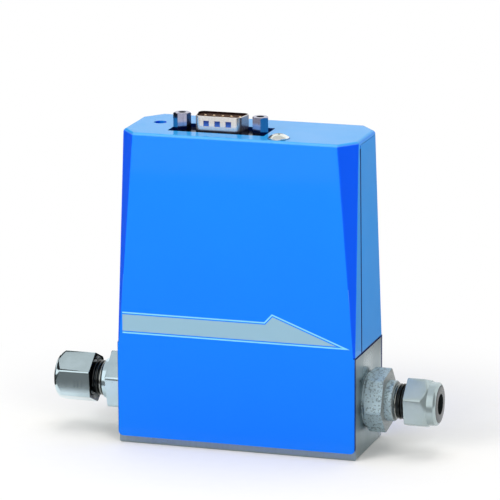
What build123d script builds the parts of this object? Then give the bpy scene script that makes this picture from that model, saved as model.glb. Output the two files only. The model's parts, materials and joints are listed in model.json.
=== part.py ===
from build123d import *
from dataclasses import dataclass
import math
import os

# Thermal mass flow meter with a folded sheet cover on a machined base block.
#
# Frame: origin at the middle of the block's base, +X along the flow (inlet at -X, outlet at +X),
# -Y is the front face, +Z up. Lengths in millimetres, angles in degrees.

# ---------------------------------------------------------------- driving dimensions
# Base block
BODY_WIDTH = 76.0  # block and cover across their sides
BODY_DEPTH = 31.0  # cover front face to rear face
BLOCK_HEIGHT = 32.0
FLOW_AXIS_DROP = 16.0  # flow axis below the block's top face
FLOW_BORE_RADIUS = 6.0
BLOCK_CHAMFER = 0.4
MOUNT_HOLE_SPACING = 52.0
MOUNT_HOLE_RADIUS = 1.65
MOUNT_HOLE_DEPTH = 5.0

# Cover
COVER_HEIGHT = 66.4  # block's top face to the cover's top face
COVER_TOP_WIDTH = 75.0
SHEET = 1.2
FACET_TOP_X = 5.1  # corner facet's legs at the cover's top
FACET_TOP_Y = 6.5
FACET_BOTTOM_X = 0.45  # the facet runs out to this at the block
BEND_RADIUS = 1.2
CORNER_TOP_RADIUS = 1.4  # facets' edges, at the cover's top
CORNER_BOTTOM_RADIUS = 0.6  # and at the block
SEAM_SETBACK = 7.4  # side seam behind the front face
SEAM_GAP = 0.2  # between the rear cover and the top plate
SIDE_SEAM_GAP = 0.6
BLOCK_GAP = 0.4  # side walls' lower edges above the block
PANEL_END = 2.5  # panels' lower edge above the base
PANEL_CORNER_RADIUS = 1.5
LIP_THICKNESS = 0.8
LIP_REACH = 1.6
LIP_WIDTH = 4.0
LIP_END = 6.0  # lip stops this short of the walls' ends

# Tube fittings
TUBE_BORE_RADIUS = 3.2
THROUGH_BORE_RADIUS = 2.4
PORT_RADIUS = 7.15
PORT_DEPTH = 11.0
PORT_MOUTH_RADIUS = 8.6
PORT_MOUTH_DEPTH = 1.9
UNDERCUT_RADIUS = 6.4
WASHER_FACE_RADIUS = 9.0
WASHER_FACE = 0.6
BODY_HEX = 19.05
BODY_HEX_LENGTH = 6.8
SHOULDER_RADIUS = 6.3
SHOULDER_LENGTH = 1.6
NECK_RADIUS = 5.56
NECK_ROOT_RADIUS = 4.9  # open neck between the shoulder and the nut, at the thread's root
SOCKET_DEPTH = 11.0
NUT_HEX = 14.29
INLET_NUT_HEX_LENGTH = 10.3
OUTLET_NUT_HEX_LENGTH = 7.0
INLET_NUT_COLLAR_LENGTH = 1.8
OUTLET_NUT_COLLAR_LENGTH = 2.9
INLET_NUT_GAP = 3.5  # body hexagon's shoulder to the nut
OUTLET_NUT_GAP = 3.9
NUT_COLLAR_RADIUS = 6.8
NUT_COLLAR_ROUND = 1.3
FERRULE_ROOM = 7.0  # neck's end to the nut's end
NUT_MOUTH_CHAMFER = 1.1
NUT_END_WALL = 3.0  # nut's closed end behind the back ferrule
NECK_MOUTH_WALL = 1.2  # neck's wall left around its cone
CONE_DEPTH = 2.0  # cone in the neck's mouth
FRONT_FERRULE_PROUD = 1.6  # front ferrule's head past the neck's end
FERRULE_HEAD_STEP = 0.2
FERRULE_EDGE = 0.5
BACK_FERRULE_HEAD = 0.7
FITTING_EDGE = 0.5
NECK_EDGE = 0.3
STUB_CHAMFER = 0.8
INLET_BODY_TURN = -17.0  # hexagons' angles about the flow axis
OUTLET_BODY_TURN = -18.0
INLET_NUT_TURN = -6.0
OUTLET_NUT_TURN = 11.0
HEX_CHAMFER_ANGLE = 30.0
HEX_CORNER_RADIUS = 0.4
SEAL_SECTION_RADIUS = 0.9

# Bypass and screen
BYPASS_LENGTH = 17.0
BYPASS_GROOVES = 12
BYPASS_GROOVE_WIDTH = 0.9
BYPASS_GROOVE_DEPTH = 1.3
RETAINER_WIDTH = 1.0
RETAINER_LAND = 1.2
SCREEN_THICKNESS = 0.45
SCREEN_HOLE_RADIUS = 0.75

# Sensor
SENSOR_SETFORWARD = 4.0  # sensor's plane in front of the flow axis
TAP_SPACING = 24.0
TAP_RADIUS = 1.0
SENSOR_BASE_EAR = 2.4  # base past its screws
SENSOR_BASE_DEPTH = 12.0
SENSOR_FLANGE = 3.0
SENSOR_BASE_HEIGHT = 8.0
SENSOR_BOSS_LENGTH = 33.0
SENSOR_HEAD_GAP = 0.3  # screw heads beside the boss
SENSOR_SEAL_RADIUS = 1.9
SENSOR_SEAL_SECTION = 0.47
SENSOR_SEAL_BORE = 2.6
CAPILLARY_RADIUS = 0.45
CAPILLARY_WALL = 0.15
CAPILLARY_RISE = 16.0
CAPILLARY_BEND = 4.0
CAPILLARY_SOCKET = 4.0
WINDING_LENGTH = 5.5
WINDING_RADIUS = 0.85
WINDING_GAP = 3.0
CASE_LENGTH = 32.0
CASE_DEPTH = 11.0
CASE_HEIGHT = 20.0
CASE_WALL = 0.8
CASE_CORNER = 3.0
TERMINAL_LENGTH = 19.0
TERMINAL_HEIGHT = 12.0
TERMINAL_THICKNESS = 1.0
TERMINAL_HOLE_RADIUS = 0.6

# Chassis
CHASSIS_SHEET = 1.2
CHASSIS_WIDTH = 60.0
CHASSIS_REAR_GAP = 1.9  # chassis plate in front of the rear cover's inner face
CHASSIS_FOOT_DEPTH = 9.0
CHASSIS_SCREW_SPACING = 40.0
CHASSIS_SCREW_Y = 8.0
SHELF_LEFT = -25.5
SHELF_RIGHT = 18.0
SHELF_FRONT_GAP = 0.8  # shelf's front edge behind the front cover's inner face
CHASSIS_BEND = 1.0

# Connector, nine-way D shape
CONNECTOR_X = -8.0
CONNECTOR_Y = -2.9
CONNECTOR_SINK = 1.2  # flange's face below the cover's top face
SHELL_WIDTH = 16.92
SHELL_DEPTH = 8.36
SHELL_SIDE_ANGLE = 10.0
SHELL_CORNER = 2.0
SHELL_HEIGHT = 5.84
SHELL_WALL = 0.4
FLANGE_LENGTH = 30.81
FLANGE_DEPTH = 12.55
FLANGE_THICKNESS = 0.5
FLANGE_CORNER = 1.6
OPENING_LENGTH = 30.75  # opening in the cover's top, over the flange
OPENING_DEPTH = 12.0
OPENING_SHIFT = 0.05
OPENING_CORNER = 0.4
JACKSCREW_SPACING = 24.99
PIN_PITCH = 2.77
PIN_ROW_PITCH = 2.84
PIN_RADIUS = 0.5
PIN_LENGTH = 5.0
TAIL_RADIUS = 0.35
DIMPLE_WIDTH = 1.8
DIMPLE_HEIGHT = 1.8
DIMPLE_PITCH = 3.54
DIMPLE_DEPTH = 0.2
DIMPLE_OFFSET = 0.05
DIMPLE_CENTRE = 3.6  # above the flange's face
REAR_BODY_WIDTH = 18.6
REAR_BODY_DEPTH = 10.6
REAR_BODY_HEIGHT = 4.2
INSULATOR_FACE = 0.3
INSULATOR_TAIL = 0.6

# Jackscrews
JACK_HEX = 4.75
LEFT_JACK_TURN = 17.5
RIGHT_JACK_TURN = -12.5
JACK_HEIGHT = 5.9
JACK_STUD_RADIUS = 1.4
JACK_STUD_LENGTH = 5.6
JACK_TOP_EDGE = 0.5
JACK_SOCKET_RADIUS = 1.2
JACK_SOCKET_DEPTH = 4.5
LOCK_WASHER_RADIUS = 2.5
LOCK_WASHER_THICKNESS = 0.6
JACK_NUT_HEIGHT = 2.0

# Screws, all M3
SCREW_RADIUS = 1.5
PAN_HEAD_RADIUS = 2.8
PAN_HEAD_HEIGHT = 2.0
TRUSS_HEAD_RADIUS = 3.2
TRUSS_HEAD_HEIGHT = 1.5
CROSS_WIDTH = 0.7
CROSS_LENGTH = 2.8
CROSS_DEPTH = 0.9
TOP_SCREW_X = 12.7
TOP_SCREW_SETBACK = 4.8  # behind the front face
TOP_SCREW_LENGTH = 6.0
CLINCH_COLLAR_RADIUS = 3.2
CLINCH_SHANK_RADIUS = 2.5
CLINCH_TAIL = 1.5
REAR_SCREW_SPACING = 58.0
REAR_SCREW_DROP = 5.0  # below the block's top face
REAR_SCREW_LENGTH = 6.0
FOOT_SCREW_LENGTH = 6.0
SENSOR_SCREW_LENGTH = 7.0

# Boards
BOARD_THICKNESS = 1.6
MAIN_BOARD_WIDTH = 62.0
MAIN_BOARD_HEIGHT = 46.0
MAIN_BOARD_BASE = 8.0  # main board's lower edge above the block's top face
STANDOFF_LENGTH = 5.2
STANDOFF_RADIUS = 2.5
STANDOFF_INSET = 5.0
BOARD_SCREW_LENGTH = 4.0
CONNECTOR_BOARD_LEFT = -34.0
CONNECTOR_BOARD_RIGHT = 12.0
CONNECTOR_BOARD_FRONT = -9.0
CONNECTOR_BOARD_REAR = 6.0
CONNECTOR_BOARD_DROP = 1.9  # below the connector's insulator
TAIL_PROTRUSION = 1.0
CHIP_SIZE = (5.0, 6.2, 1.6)
CHIP_PITCH = 14.0
CHIP_LEVEL = 26.0  # above the main board's lower edge
CAPACITOR_RADIUS = 3.15
CAPACITOR_LENGTH = 7.0
CAPACITOR_PITCH = 9.0
CAPACITOR_INSET = 16.5  # capacitors' middle from the board's inlet end
CAPACITOR_LEVEL = 37.5
REGULATOR_SIZE = (10.0, 9.0, 4.4)
REGULATOR_INSET = 14.5  # regulator's middle from the board's outlet end
REGULATOR_LEVEL = 36.5
HEADER_PINS = 8
HEADER_PITCH = 2.54
HEADER_WIDTH = 2.5
HEADER_HEIGHT = 2.5
HEADER_PIN = 0.64
HEADER_DROP = 1.0  # header below the main board's upper edge

# Zero trimmer
ZERO_X = -29.3
ZERO_Y = 2.2
ZERO_HOLE_RADIUS = 2.0
TRIMMER_WIDTH = 6.6
TRIMMER_DEPTH = 6.0
TRIMMER_HEIGHT = 4.9
ROTOR_RADIUS = 1.9
ROTOR_HEIGHT = 1.7
ROTOR_PROUD = 0.15
ROTOR_SLOT_WIDTH = 0.6
ROTOR_SLOT_DEPTH = 0.7

# Named clearances
THREAD_CLEARANCE = 0.05  # screws and threads in their holes, on the radius
PASS_CLEARANCE = 0.2  # screws through clearance holes, on the radius
SEAT_CLEARANCE = 0.05  # pieces dropped into a seat
RUNNING_CLEARANCE = 0.05  # trimmer rotor in its bore, on the radius

# ---------------------------------------------------------------- derived places
BLOCK_TOP = BLOCK_HEIGHT
FLOW_Z = BLOCK_TOP - FLOW_AXIS_DROP
COVER_TOP = BLOCK_TOP + COVER_HEIGHT
PLATE_UNDERSIDE = COVER_TOP - SHEET
INNER_DEPTH = BODY_DEPTH - 2 * SHEET
FRONT_INNER_Y = -INNER_DEPTH / 2
REAR_INNER_Y = INNER_DEPTH / 2
SEAM_Y = -BODY_DEPTH / 2 + SEAM_SETBACK
FACET_RATIO = FACET_TOP_Y / FACET_TOP_X

FLANGE_TOP = COVER_TOP - CONNECTOR_SINK
SHELF_TOP = FLANGE_TOP - 2 * FLANGE_THICKNESS
SHELF_UNDERSIDE = SHELF_TOP - CHASSIS_SHEET
SHELF_FRONT_Y = FRONT_INNER_Y + SHELF_FRONT_GAP
CHASSIS_REAR_Y = REAR_INNER_Y - CHASSIS_REAR_GAP
CHASSIS_FRONT_Y = CHASSIS_REAR_Y - CHASSIS_SHEET
JACK_POSITIONS = [CONNECTOR_X - JACKSCREW_SPACING / 2, CONNECTOR_X + JACKSCREW_SPACING / 2]

REAR_BODY_BOTTOM = SHELF_TOP - REAR_BODY_HEIGHT
INSULATOR_BOTTOM = REAR_BODY_BOTTOM - INSULATOR_TAIL
CONNECTOR_BOARD_TOP = INSULATOR_BOTTOM - CONNECTOR_BOARD_DROP
CONNECTOR_BOARD_BOTTOM = CONNECTOR_BOARD_TOP - BOARD_THICKNESS

MAIN_BOARD_REAR_Y = CHASSIS_FRONT_Y - STANDOFF_LENGTH
MAIN_BOARD_FRONT_Y = MAIN_BOARD_REAR_Y - BOARD_THICKNESS
MAIN_BOARD_BOTTOM = BLOCK_TOP + MAIN_BOARD_BASE
MAIN_BOARD_TOP = MAIN_BOARD_BOTTOM + MAIN_BOARD_HEIGHT
STANDOFF_POSITIONS = [
    (side * (MAIN_BOARD_WIDTH / 2 - STANDOFF_INSET), level)
    for side in (-1, 1)
    for level in (MAIN_BOARD_BOTTOM + STANDOFF_INSET, MAIN_BOARD_TOP - STANDOFF_INSET)
]

CAPACITOR_X = CAPACITOR_INSET - MAIN_BOARD_WIDTH / 2
REGULATOR_X = MAIN_BOARD_WIDTH / 2 - REGULATOR_INSET

SENSOR_Y = -SENSOR_SETFORWARD
SENSOR_SCREW_SPACING = SENSOR_BOSS_LENGTH + 2 * (PAN_HEAD_RADIUS + SENSOR_HEAD_GAP)
SENSOR_BASE_LENGTH = SENSOR_SCREW_SPACING + 2 * SENSOR_BASE_EAR
SENSOR_TOP = BLOCK_TOP + SENSOR_BASE_HEIGHT
CAPILLARY_TOP = SENSOR_TOP + CAPILLARY_RISE
TAP_POSITIONS = [-TAP_SPACING / 2, TAP_SPACING / 2]
SEAL_GROOVE_DEPTH = 2 * SENSOR_SEAL_SECTION + 0.01

BODY_HEX_END = WASHER_FACE + BODY_HEX_LENGTH
SHOULDER_END = BODY_HEX_END + SHOULDER_LENGTH
STUB_LENGTH = PORT_DEPTH - SCREEN_THICKNESS - SEAT_CLEARANCE
FERRULE_SEAT = NECK_RADIUS - NECK_MOUTH_WALL  # cone mouth's radius at the neck's end
TOP_SCREW_Y = -BODY_DEPTH / 2 + TOP_SCREW_SETBACK


@dataclass(frozen=True)
class Fitting:
    """One side's tube fitting, with its stations outwards from the block's face."""

    body_turn: float
    nut_turn: float
    nut_gap: float
    nut_hex_length: float
    nut_collar_length: float

    @property
    def nut_start(self):
        return SHOULDER_END + self.nut_gap

    @property
    def nut_hex_end(self):
        return self.nut_start + self.nut_hex_length

    @property
    def nut_end(self):
        return self.nut_hex_end + self.nut_collar_length

    @property
    def neck_end(self):
        return self.nut_end - FERRULE_ROOM

    @property
    def front_ferrule_start(self):
        return self.neck_end - CONE_DEPTH

    @property
    def back_ferrule_start(self):
        return self.neck_end + FRONT_FERRULE_PROUD

    @property
    def back_ferrule_end(self):
        return self.nut_end - NUT_END_WALL


INLET = Fitting(
    INLET_BODY_TURN,
    INLET_NUT_TURN,
    INLET_NUT_GAP,
    INLET_NUT_HEX_LENGTH,
    INLET_NUT_COLLAR_LENGTH,
)
OUTLET = Fitting(
    OUTLET_BODY_TURN,
    OUTLET_NUT_TURN,
    OUTLET_NUT_GAP,
    OUTLET_NUT_HEX_LENGTH,
    OUTLET_NUT_COLLAR_LENGTH,
)


# ---------------------------------------------------------------- shape helpers
def block_between(x, y, z):
    """Box between the low and high values given for each axis."""
    size = [high - low for low, high in (x, y, z)]
    middle = [(high + low) / 2 for low, high in (x, y, z)]
    return Pos(*middle) * Box(*size)


def rod_z(x, y, low, high, radius):
    """Upright cylinder between two heights."""
    return Pos(x, y, (low + high) / 2) * Cylinder(radius, high - low)


def rod_y(x, z, low, high, radius):
    """Cylinder along Y between two depths."""
    return Pos(x, (low + high) / 2, z) * Rot(90, 0, 0) * Cylinder(radius, high - low)


def rod_x(y, z, low, high, radius):
    """Cylinder along X between two stations."""
    return Pos((low + high) / 2, y, z) * Rot(0, 90, 0) * Cylinder(radius, high - low)


def ring_z(x, y, low, high, inner, outer):
    """Upright ring between two heights."""
    return rod_z(x, y, low, high, outer) - rod_z(x, y, low, high, inner)


def turned(points):
    """Solid turned about the X axis from (station, radius) points."""
    face = make_face(Polyline(*points, close=True))
    return revolve(face, Axis.X)


def chamfered_hexagon(across_flats, start, end, turn, chamfer_start, chamfer_end):
    """Hexagon bar along X whose corners are turned off at the ends that are asked for."""
    across_corners = across_flats / math.cos(math.radians(30)) / 2
    flat = across_flats / 2 * 0.985
    run = (across_corners - flat) * math.tan(math.radians(HEX_CHAMFER_ANGLE))
    outline = RegularPolygon(across_flats / 2, 6, major_radius=False)
    outline = fillet(outline.vertices(), HEX_CORNER_RADIUS)
    bar = extrude(Plane.YZ.offset(start) * Rot(0, 0, 90 + turn) * outline, end - start)
    low = [(start, flat), (start + run, across_corners)] if chamfer_start else [(start, across_corners)]
    high = [(end - run, across_corners), (end, flat)] if chamfer_end else [(end, across_corners)]
    return bar & turned([(start, 0), *low, *high, (end, 0)])


def at_inlet(shape):
    """Puts a fitting piece, drawn outwards from the block's face, on the inlet side."""
    return Pos(-BODY_WIDTH / 2, 0, FLOW_Z) * Rot(0, 0, 180) * shape


def at_outlet(shape):
    """Puts a fitting piece, drawn outwards from the block's face, on the outlet side."""
    return Pos(BODY_WIDTH / 2, 0, FLOW_Z) * shape


def cross_recess(x, y, top):
    """Cutter for a screw's cross recess."""
    depth = CROSS_DEPTH
    bars = Box(CROSS_LENGTH, CROSS_WIDTH, 2 * depth) + Box(CROSS_WIDTH, CROSS_LENGTH, 2 * depth)
    return Pos(x, y, top) * Rot(0, 0, 22) * bars


def dome_screw(head_radius, head_height, length):
    """Screw standing on the plane Z = 0 with its dome above and its shank below."""
    rim = head_height * 0.22
    crown = (head_radius**2 + (head_height - rim) ** 2) / (2 * (head_height - rim))
    dome = Pos(0, 0, head_height - crown) * Sphere(crown)
    head = rod_z(0, 0, 0, head_height, head_radius) & dome
    shank = rod_z(0, 0, -length, 0, SCREW_RADIUS)
    tip = [edge for edge in shank.edges().filter_by(GeomType.CIRCLE) if edge.center().Z < -length / 2]
    shank = chamfer(tip, 0.3)
    return head + shank - cross_recess(0, 0, head_height)


def d_outline(width, depth, corner):
    """D-shaped face, narrow side towards the front, centred on the connector."""
    taper = depth * math.tan(math.radians(SHELL_SIDE_ANGLE))
    points = [
        (-width / 2, depth / 2),
        (width / 2, depth / 2),
        (width / 2 - taper, -depth / 2),
        (-width / 2 + taper, -depth / 2),
    ]
    face = make_face(Polyline(*points, close=True))
    face = fillet(face.vertices(), corner)
    return Pos(CONNECTOR_X, CONNECTOR_Y, 0) * face


def d_prism(width, depth, corner, low, high):
    """Upright prism on the D-shaped outline."""
    return extrude(Pos(0, 0, low) * d_outline(width, depth, corner), high - low)


def rounded_plate(x, y, z, corner):
    """Flat plate with rounded corners in plan, between the low and high values given."""
    plate = block_between(x, y, z)
    return fillet(plate.edges().filter_by(Axis.Z), corner)


# ---------------------------------------------------------------- covers
def housing_section(width, facet_x, corner, inset, level):
    """Eight-sided outline of the cover at one level, moved inwards by inset."""
    half_x = width / 2 - inset
    half_y = BODY_DEPTH / 2 - inset
    facet_y = facet_x * FACET_RATIO
    slope = math.hypot(facet_x, facet_y)
    leg_x = max(facet_x - inset * (1 + facet_x / facet_y - slope / facet_y), 0.05)
    leg_y = leg_x * FACET_RATIO
    corner_points = [(half_x - leg_x, half_y), (half_x, half_y - leg_y)]
    mirrored = [(x, -y) for x, y in reversed(corner_points)]
    right = corner_points + mirrored
    left = [(-x, y) for x, y in reversed(right)]
    face = make_face(Polyline(*right, *left, close=True))
    if inset == 0:
        face = fillet(face.vertices(), corner)
    return Pos(0, 0, level) * face


def housing_form(inset, low, high):
    """Tapering eight-sided form of the cover between two levels."""

    def share(level):
        return (level - BLOCK_TOP) / COVER_HEIGHT

    def section(level):
        width = BODY_WIDTH + (COVER_TOP_WIDTH - BODY_WIDTH) * share(level)
        facet_x = FACET_BOTTOM_X + (FACET_TOP_X - FACET_BOTTOM_X) * share(level)
        corner = CORNER_BOTTOM_RADIUS + (CORNER_TOP_RADIUS - CORNER_BOTTOM_RADIUS) * share(level)
        return housing_section(width, facet_x, corner, inset, level)

    return loft([section(low), section(high)], ruled=True)


def housing_shell():
    """Cover's whole sheet form, before it is parted at the seam."""
    outer = housing_form(0, BLOCK_TOP + BLOCK_GAP, COVER_TOP)
    rim = [e for e in outer.edges() if e.center().Z > COVER_TOP - 0.01]
    outer = fillet(rim, BEND_RADIUS)
    return outer - housing_form(SHEET, BLOCK_TOP + BLOCK_GAP, PLATE_UNDERSIDE)


def hanging_panel(front):
    """Flat panel that runs down over the block's front or rear face."""
    y = (-BODY_DEPTH / 2, FRONT_INNER_Y) if front else (REAR_INNER_Y, BODY_DEPTH / 2)
    half = BODY_WIDTH / 2
    panel = block_between((-half, half), y, (PANEL_END, BLOCK_TOP + BLOCK_GAP))
    corners = [e for e in panel.edges().filter_by(Axis.Y) if e.center().Z < BLOCK_TOP / 2]
    return fillet(corners, PANEL_CORNER_RADIUS)


def front_cover():
    shell = housing_shell()
    reach = BODY_WIDTH
    before_seam = block_between((-reach, reach), (-reach, SEAM_Y), (0, COVER_TOP + 1))
    top_plate = block_between((-reach, reach), (-reach, reach), (PLATE_UNDERSIDE, COVER_TOP + 1))
    cover = (shell & (before_seam + top_plate)) + hanging_panel(True)
    middle = CONNECTOR_X + OPENING_SHIFT
    cover -= rounded_plate(
        (middle - OPENING_LENGTH / 2, middle + OPENING_LENGTH / 2),
        (CONNECTOR_Y - OPENING_DEPTH / 2, CONNECTOR_Y + OPENING_DEPTH / 2),
        (PLATE_UNDERSIDE - 1, COVER_TOP + 1),
        OPENING_CORNER,
    )
    cover -= rod_z(ZERO_X, ZERO_Y, PLATE_UNDERSIDE - 1, COVER_TOP + 1, ZERO_HOLE_RADIUS)
    hole = SCREW_RADIUS + PASS_CLEARANCE
    cover -= rod_z(TOP_SCREW_X, TOP_SCREW_Y, PLATE_UNDERSIDE - 1, COVER_TOP + 1, hole)
    return cover


def rear_cover():
    shell = housing_shell()
    reach = BODY_WIDTH
    behind = block_between(
        (-reach, reach),
        (SEAM_Y + SIDE_SEAM_GAP, reach),
        (0, PLATE_UNDERSIDE - SEAM_GAP),
    )
    cover = (shell & behind) + hanging_panel(False)
    low = BLOCK_TOP + LIP_END
    high = PLATE_UNDERSIDE - LIP_END
    deep = SHEET + SEAT_CLEARANCE + LIP_THICKNESS
    inside = housing_form(deep, low, high)
    at_wall = housing_form(SHEET, low, high) - inside
    proud = housing_form(SHEET + SEAT_CLEARANCE, low, high) - inside
    lip_end = SEAM_Y + LIP_WIDTH
    cover += at_wall & block_between((-reach, reach), (SEAM_Y + SIDE_SEAM_GAP, lip_end), (low, high))
    cover += proud & block_between((-reach, reach), (SEAM_Y - LIP_REACH, lip_end), (low, high))
    for x in (-REAR_SCREW_SPACING / 2, REAR_SCREW_SPACING / 2):
        z = BLOCK_TOP - REAR_SCREW_DROP
        cover -= rod_y(x, z, REAR_INNER_Y - 1, BODY_DEPTH / 2 + 1, SCREW_RADIUS + PASS_CLEARANCE)
    return cover


# ---------------------------------------------------------------- base block and flow path
def base_block():
    half = BODY_WIDTH / 2
    block = block_between((-half, half), (FRONT_INNER_Y, REAR_INNER_Y), (0, BLOCK_TOP))
    block = chamfer(block.edges().group_by(Axis.Z)[0], BLOCK_CHAMFER)
    block -= rod_x(0, FLOW_Z, -half, half, FLOW_BORE_RADIUS)
    for place in (at_inlet, at_outlet):
        block -= place(rod_x(0, 0, -PORT_DEPTH, 0, PORT_RADIUS))
        block -= place(rod_x(0, 0, -PORT_MOUTH_DEPTH, 0, PORT_MOUTH_RADIUS))
    for x in TAP_POSITIONS:
        block -= rod_z(x, SENSOR_Y, FLOW_Z, BLOCK_TOP, TAP_RADIUS)
        block -= rod_z(x, SENSOR_Y, BLOCK_TOP - SEAL_GROOVE_DEPTH, BLOCK_TOP, SENSOR_SEAL_BORE)
    block -= retainer_groove()
    for x in (-SENSOR_SCREW_SPACING / 2, SENSOR_SCREW_SPACING / 2):
        depth = SENSOR_SCREW_LENGTH - SENSOR_FLANGE + 1
        block -= rod_z(x, SENSOR_Y, BLOCK_TOP - depth, BLOCK_TOP, SCREW_RADIUS + THREAD_CLEARANCE)
    for x in (-CHASSIS_SCREW_SPACING / 2, CHASSIS_SCREW_SPACING / 2):
        depth = FOOT_SCREW_LENGTH - CHASSIS_SHEET + 1
        block -= rod_z(x, CHASSIS_SCREW_Y, BLOCK_TOP - depth, BLOCK_TOP, SCREW_RADIUS + THREAD_CLEARANCE)
    for x in (-REAR_SCREW_SPACING / 2, REAR_SCREW_SPACING / 2):
        depth = REAR_SCREW_LENGTH - SHEET + 1
        z = BLOCK_TOP - REAR_SCREW_DROP
        block -= rod_y(x, z, REAR_INNER_Y - depth, REAR_INNER_Y, SCREW_RADIUS + THREAD_CLEARANCE)
    for x in (-MOUNT_HOLE_SPACING / 2, MOUNT_HOLE_SPACING / 2):
        block -= rod_z(x, 0, 0, MOUNT_HOLE_DEPTH, MOUNT_HOLE_RADIUS)
    return block


def retainer_station():
    return BYPASS_LENGTH / 2 + SEAT_CLEARANCE


def retainer_groove():
    start = retainer_station()
    outer = FLOW_BORE_RADIUS + RETAINER_LAND / 2
    return rod_x(0, FLOW_Z, start, start + RETAINER_WIDTH + SEAT_CLEARANCE, outer)


def bypass_element():
    half = BYPASS_LENGTH / 2
    plug = rod_x(0, 0, -half, half, FLOW_BORE_RADIUS - SEAT_CLEARANCE)
    plug = chamfer(plug.edges().filter_by(GeomType.CIRCLE), 0.5)
    for index in range(BYPASS_GROOVES):
        cutter = block_between(
            (-half - 1, half + 1),
            (-BYPASS_GROOVE_WIDTH / 2, BYPASS_GROOVE_WIDTH / 2),
            (FLOW_BORE_RADIUS - BYPASS_GROOVE_DEPTH, FLOW_BORE_RADIUS + 1),
        )
        plug -= Rot(360 * index / BYPASS_GROOVES, 0, 0) * cutter
    return Pos(0, 0, FLOW_Z) * plug


def bypass_retainer():
    start = retainer_station()
    outer = FLOW_BORE_RADIUS + RETAINER_LAND / 2 - SEAT_CLEARANCE
    inner = FLOW_BORE_RADIUS - RETAINER_LAND
    end = start + RETAINER_WIDTH
    ring = rod_x(0, 0, start, end, outer) - rod_x(0, 0, start, end, inner)
    gap = block_between((start, end), (-inner / 2, inner / 2), (-outer, 0))
    return Pos(0, 0, FLOW_Z) * (ring - gap)


def inlet_screen():
    radius = PORT_RADIUS - SEAT_CLEARANCE
    disc = rod_x(0, 0, -PORT_DEPTH, -PORT_DEPTH + SCREEN_THICKNESS, radius)
    for count, share in ((1, 0), (6, 0.32), (12, 0.62)):
        for index in range(count):
            angle = 2 * math.pi * index / count
            y = radius * share * math.cos(angle)
            z = radius * share * math.sin(angle)
            disc -= rod_x(y, z, -PORT_DEPTH - 1, 1 - PORT_DEPTH, SCREEN_HOLE_RADIUS)
    return at_inlet(disc)


# ---------------------------------------------------------------- tube fittings
def fitting_body(side):
    """Fitting body drawn outwards from the block's face along +X."""
    thread = PORT_RADIUS - THREAD_CLEARANCE
    stub = turned([
        (-STUB_LENGTH, 0),
        (-STUB_LENGTH, thread - STUB_CHAMFER),
        (-STUB_LENGTH + STUB_CHAMFER, thread),
        (-PORT_MOUTH_DEPTH - FITTING_EDGE, thread),
        (-PORT_MOUTH_DEPTH - FITTING_EDGE, UNDERCUT_RADIUS),
        (0, UNDERCUT_RADIUS),
        (0, WASHER_FACE_RADIUS),
        (WASHER_FACE, WASHER_FACE_RADIUS),
        (WASHER_FACE, 0),
    ])
    hexagon = chamfered_hexagon(BODY_HEX, WASHER_FACE, BODY_HEX_END, side.body_turn, True, True)
    nose = turned([
        (BODY_HEX_END, 0),
        (BODY_HEX_END, SHOULDER_RADIUS),
        (SHOULDER_END - NECK_EDGE, SHOULDER_RADIUS),
        (SHOULDER_END, SHOULDER_RADIUS - NECK_EDGE),
        (SHOULDER_END, NECK_ROOT_RADIUS),
        (side.nut_start + NECK_EDGE, NECK_ROOT_RADIUS),
        (side.nut_start + 2 * NECK_EDGE, NECK_RADIUS),
        (side.neck_end - FITTING_EDGE, NECK_RADIUS),
        (side.neck_end, NECK_RADIUS - FITTING_EDGE),
        (side.neck_end, 0),
    ])
    bore = turned([
        (-STUB_LENGTH - 1, 0),
        (-STUB_LENGTH - 1, THROUGH_BORE_RADIUS),
        (side.neck_end - SOCKET_DEPTH, THROUGH_BORE_RADIUS),
        (side.neck_end - SOCKET_DEPTH, TUBE_BORE_RADIUS),
        (side.front_ferrule_start, TUBE_BORE_RADIUS),
        (side.neck_end, FERRULE_SEAT),
        (side.neck_end + 1, FERRULE_SEAT),
        (side.neck_end + 1, 0),
    ])
    return stub + hexagon + nose - bore


def port_seal():
    """Ring seal in the mouth of a port."""
    major = (UNDERCUT_RADIUS + PORT_MOUTH_RADIUS) / 2
    station = -PORT_MOUTH_DEPTH / 2
    return Pos(station, 0, 0) * Rot(0, 90, 0) * Torus(major, SEAL_SECTION_RADIUS)


def front_ferrule(side):
    """Ferrule whose cone seats in the body's mouth."""
    tip = side.front_ferrule_start + FERRULE_HEAD_STEP
    cone = (FERRULE_SEAT - TUBE_BORE_RADIUS) / CONE_DEPTH
    head = FERRULE_SEAT + FERRULE_HEAD_STEP
    return turned([
        (tip, TUBE_BORE_RADIUS),
        (tip + SEAT_CLEARANCE, TUBE_BORE_RADIUS + SEAT_CLEARANCE * cone),
        (side.neck_end, FERRULE_SEAT - SEAT_CLEARANCE),
        (side.neck_end + SEAT_CLEARANCE, head),
        (side.back_ferrule_start, head),
        (side.back_ferrule_start, TUBE_BORE_RADIUS + FERRULE_EDGE),
        (side.back_ferrule_start - FERRULE_EDGE, TUBE_BORE_RADIUS),
    ])


def back_ferrule(side):
    """Ferrule between the front one and the nut."""
    head = FERRULE_SEAT + FERRULE_HEAD_STEP / 2
    near = side.back_ferrule_start + SEAT_CLEARANCE
    far = side.back_ferrule_end - SEAT_CLEARANCE
    return turned([
        (near - FERRULE_EDGE, TUBE_BORE_RADIUS),
        (near, TUBE_BORE_RADIUS + FERRULE_EDGE - SEAT_CLEARANCE),
        (near, head),
        (side.back_ferrule_start + BACK_FERRULE_HEAD, head),
        (far, TUBE_BORE_RADIUS + FERRULE_EDGE - 2 * SEAT_CLEARANCE),
        (far, TUBE_BORE_RADIUS),
    ])


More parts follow.
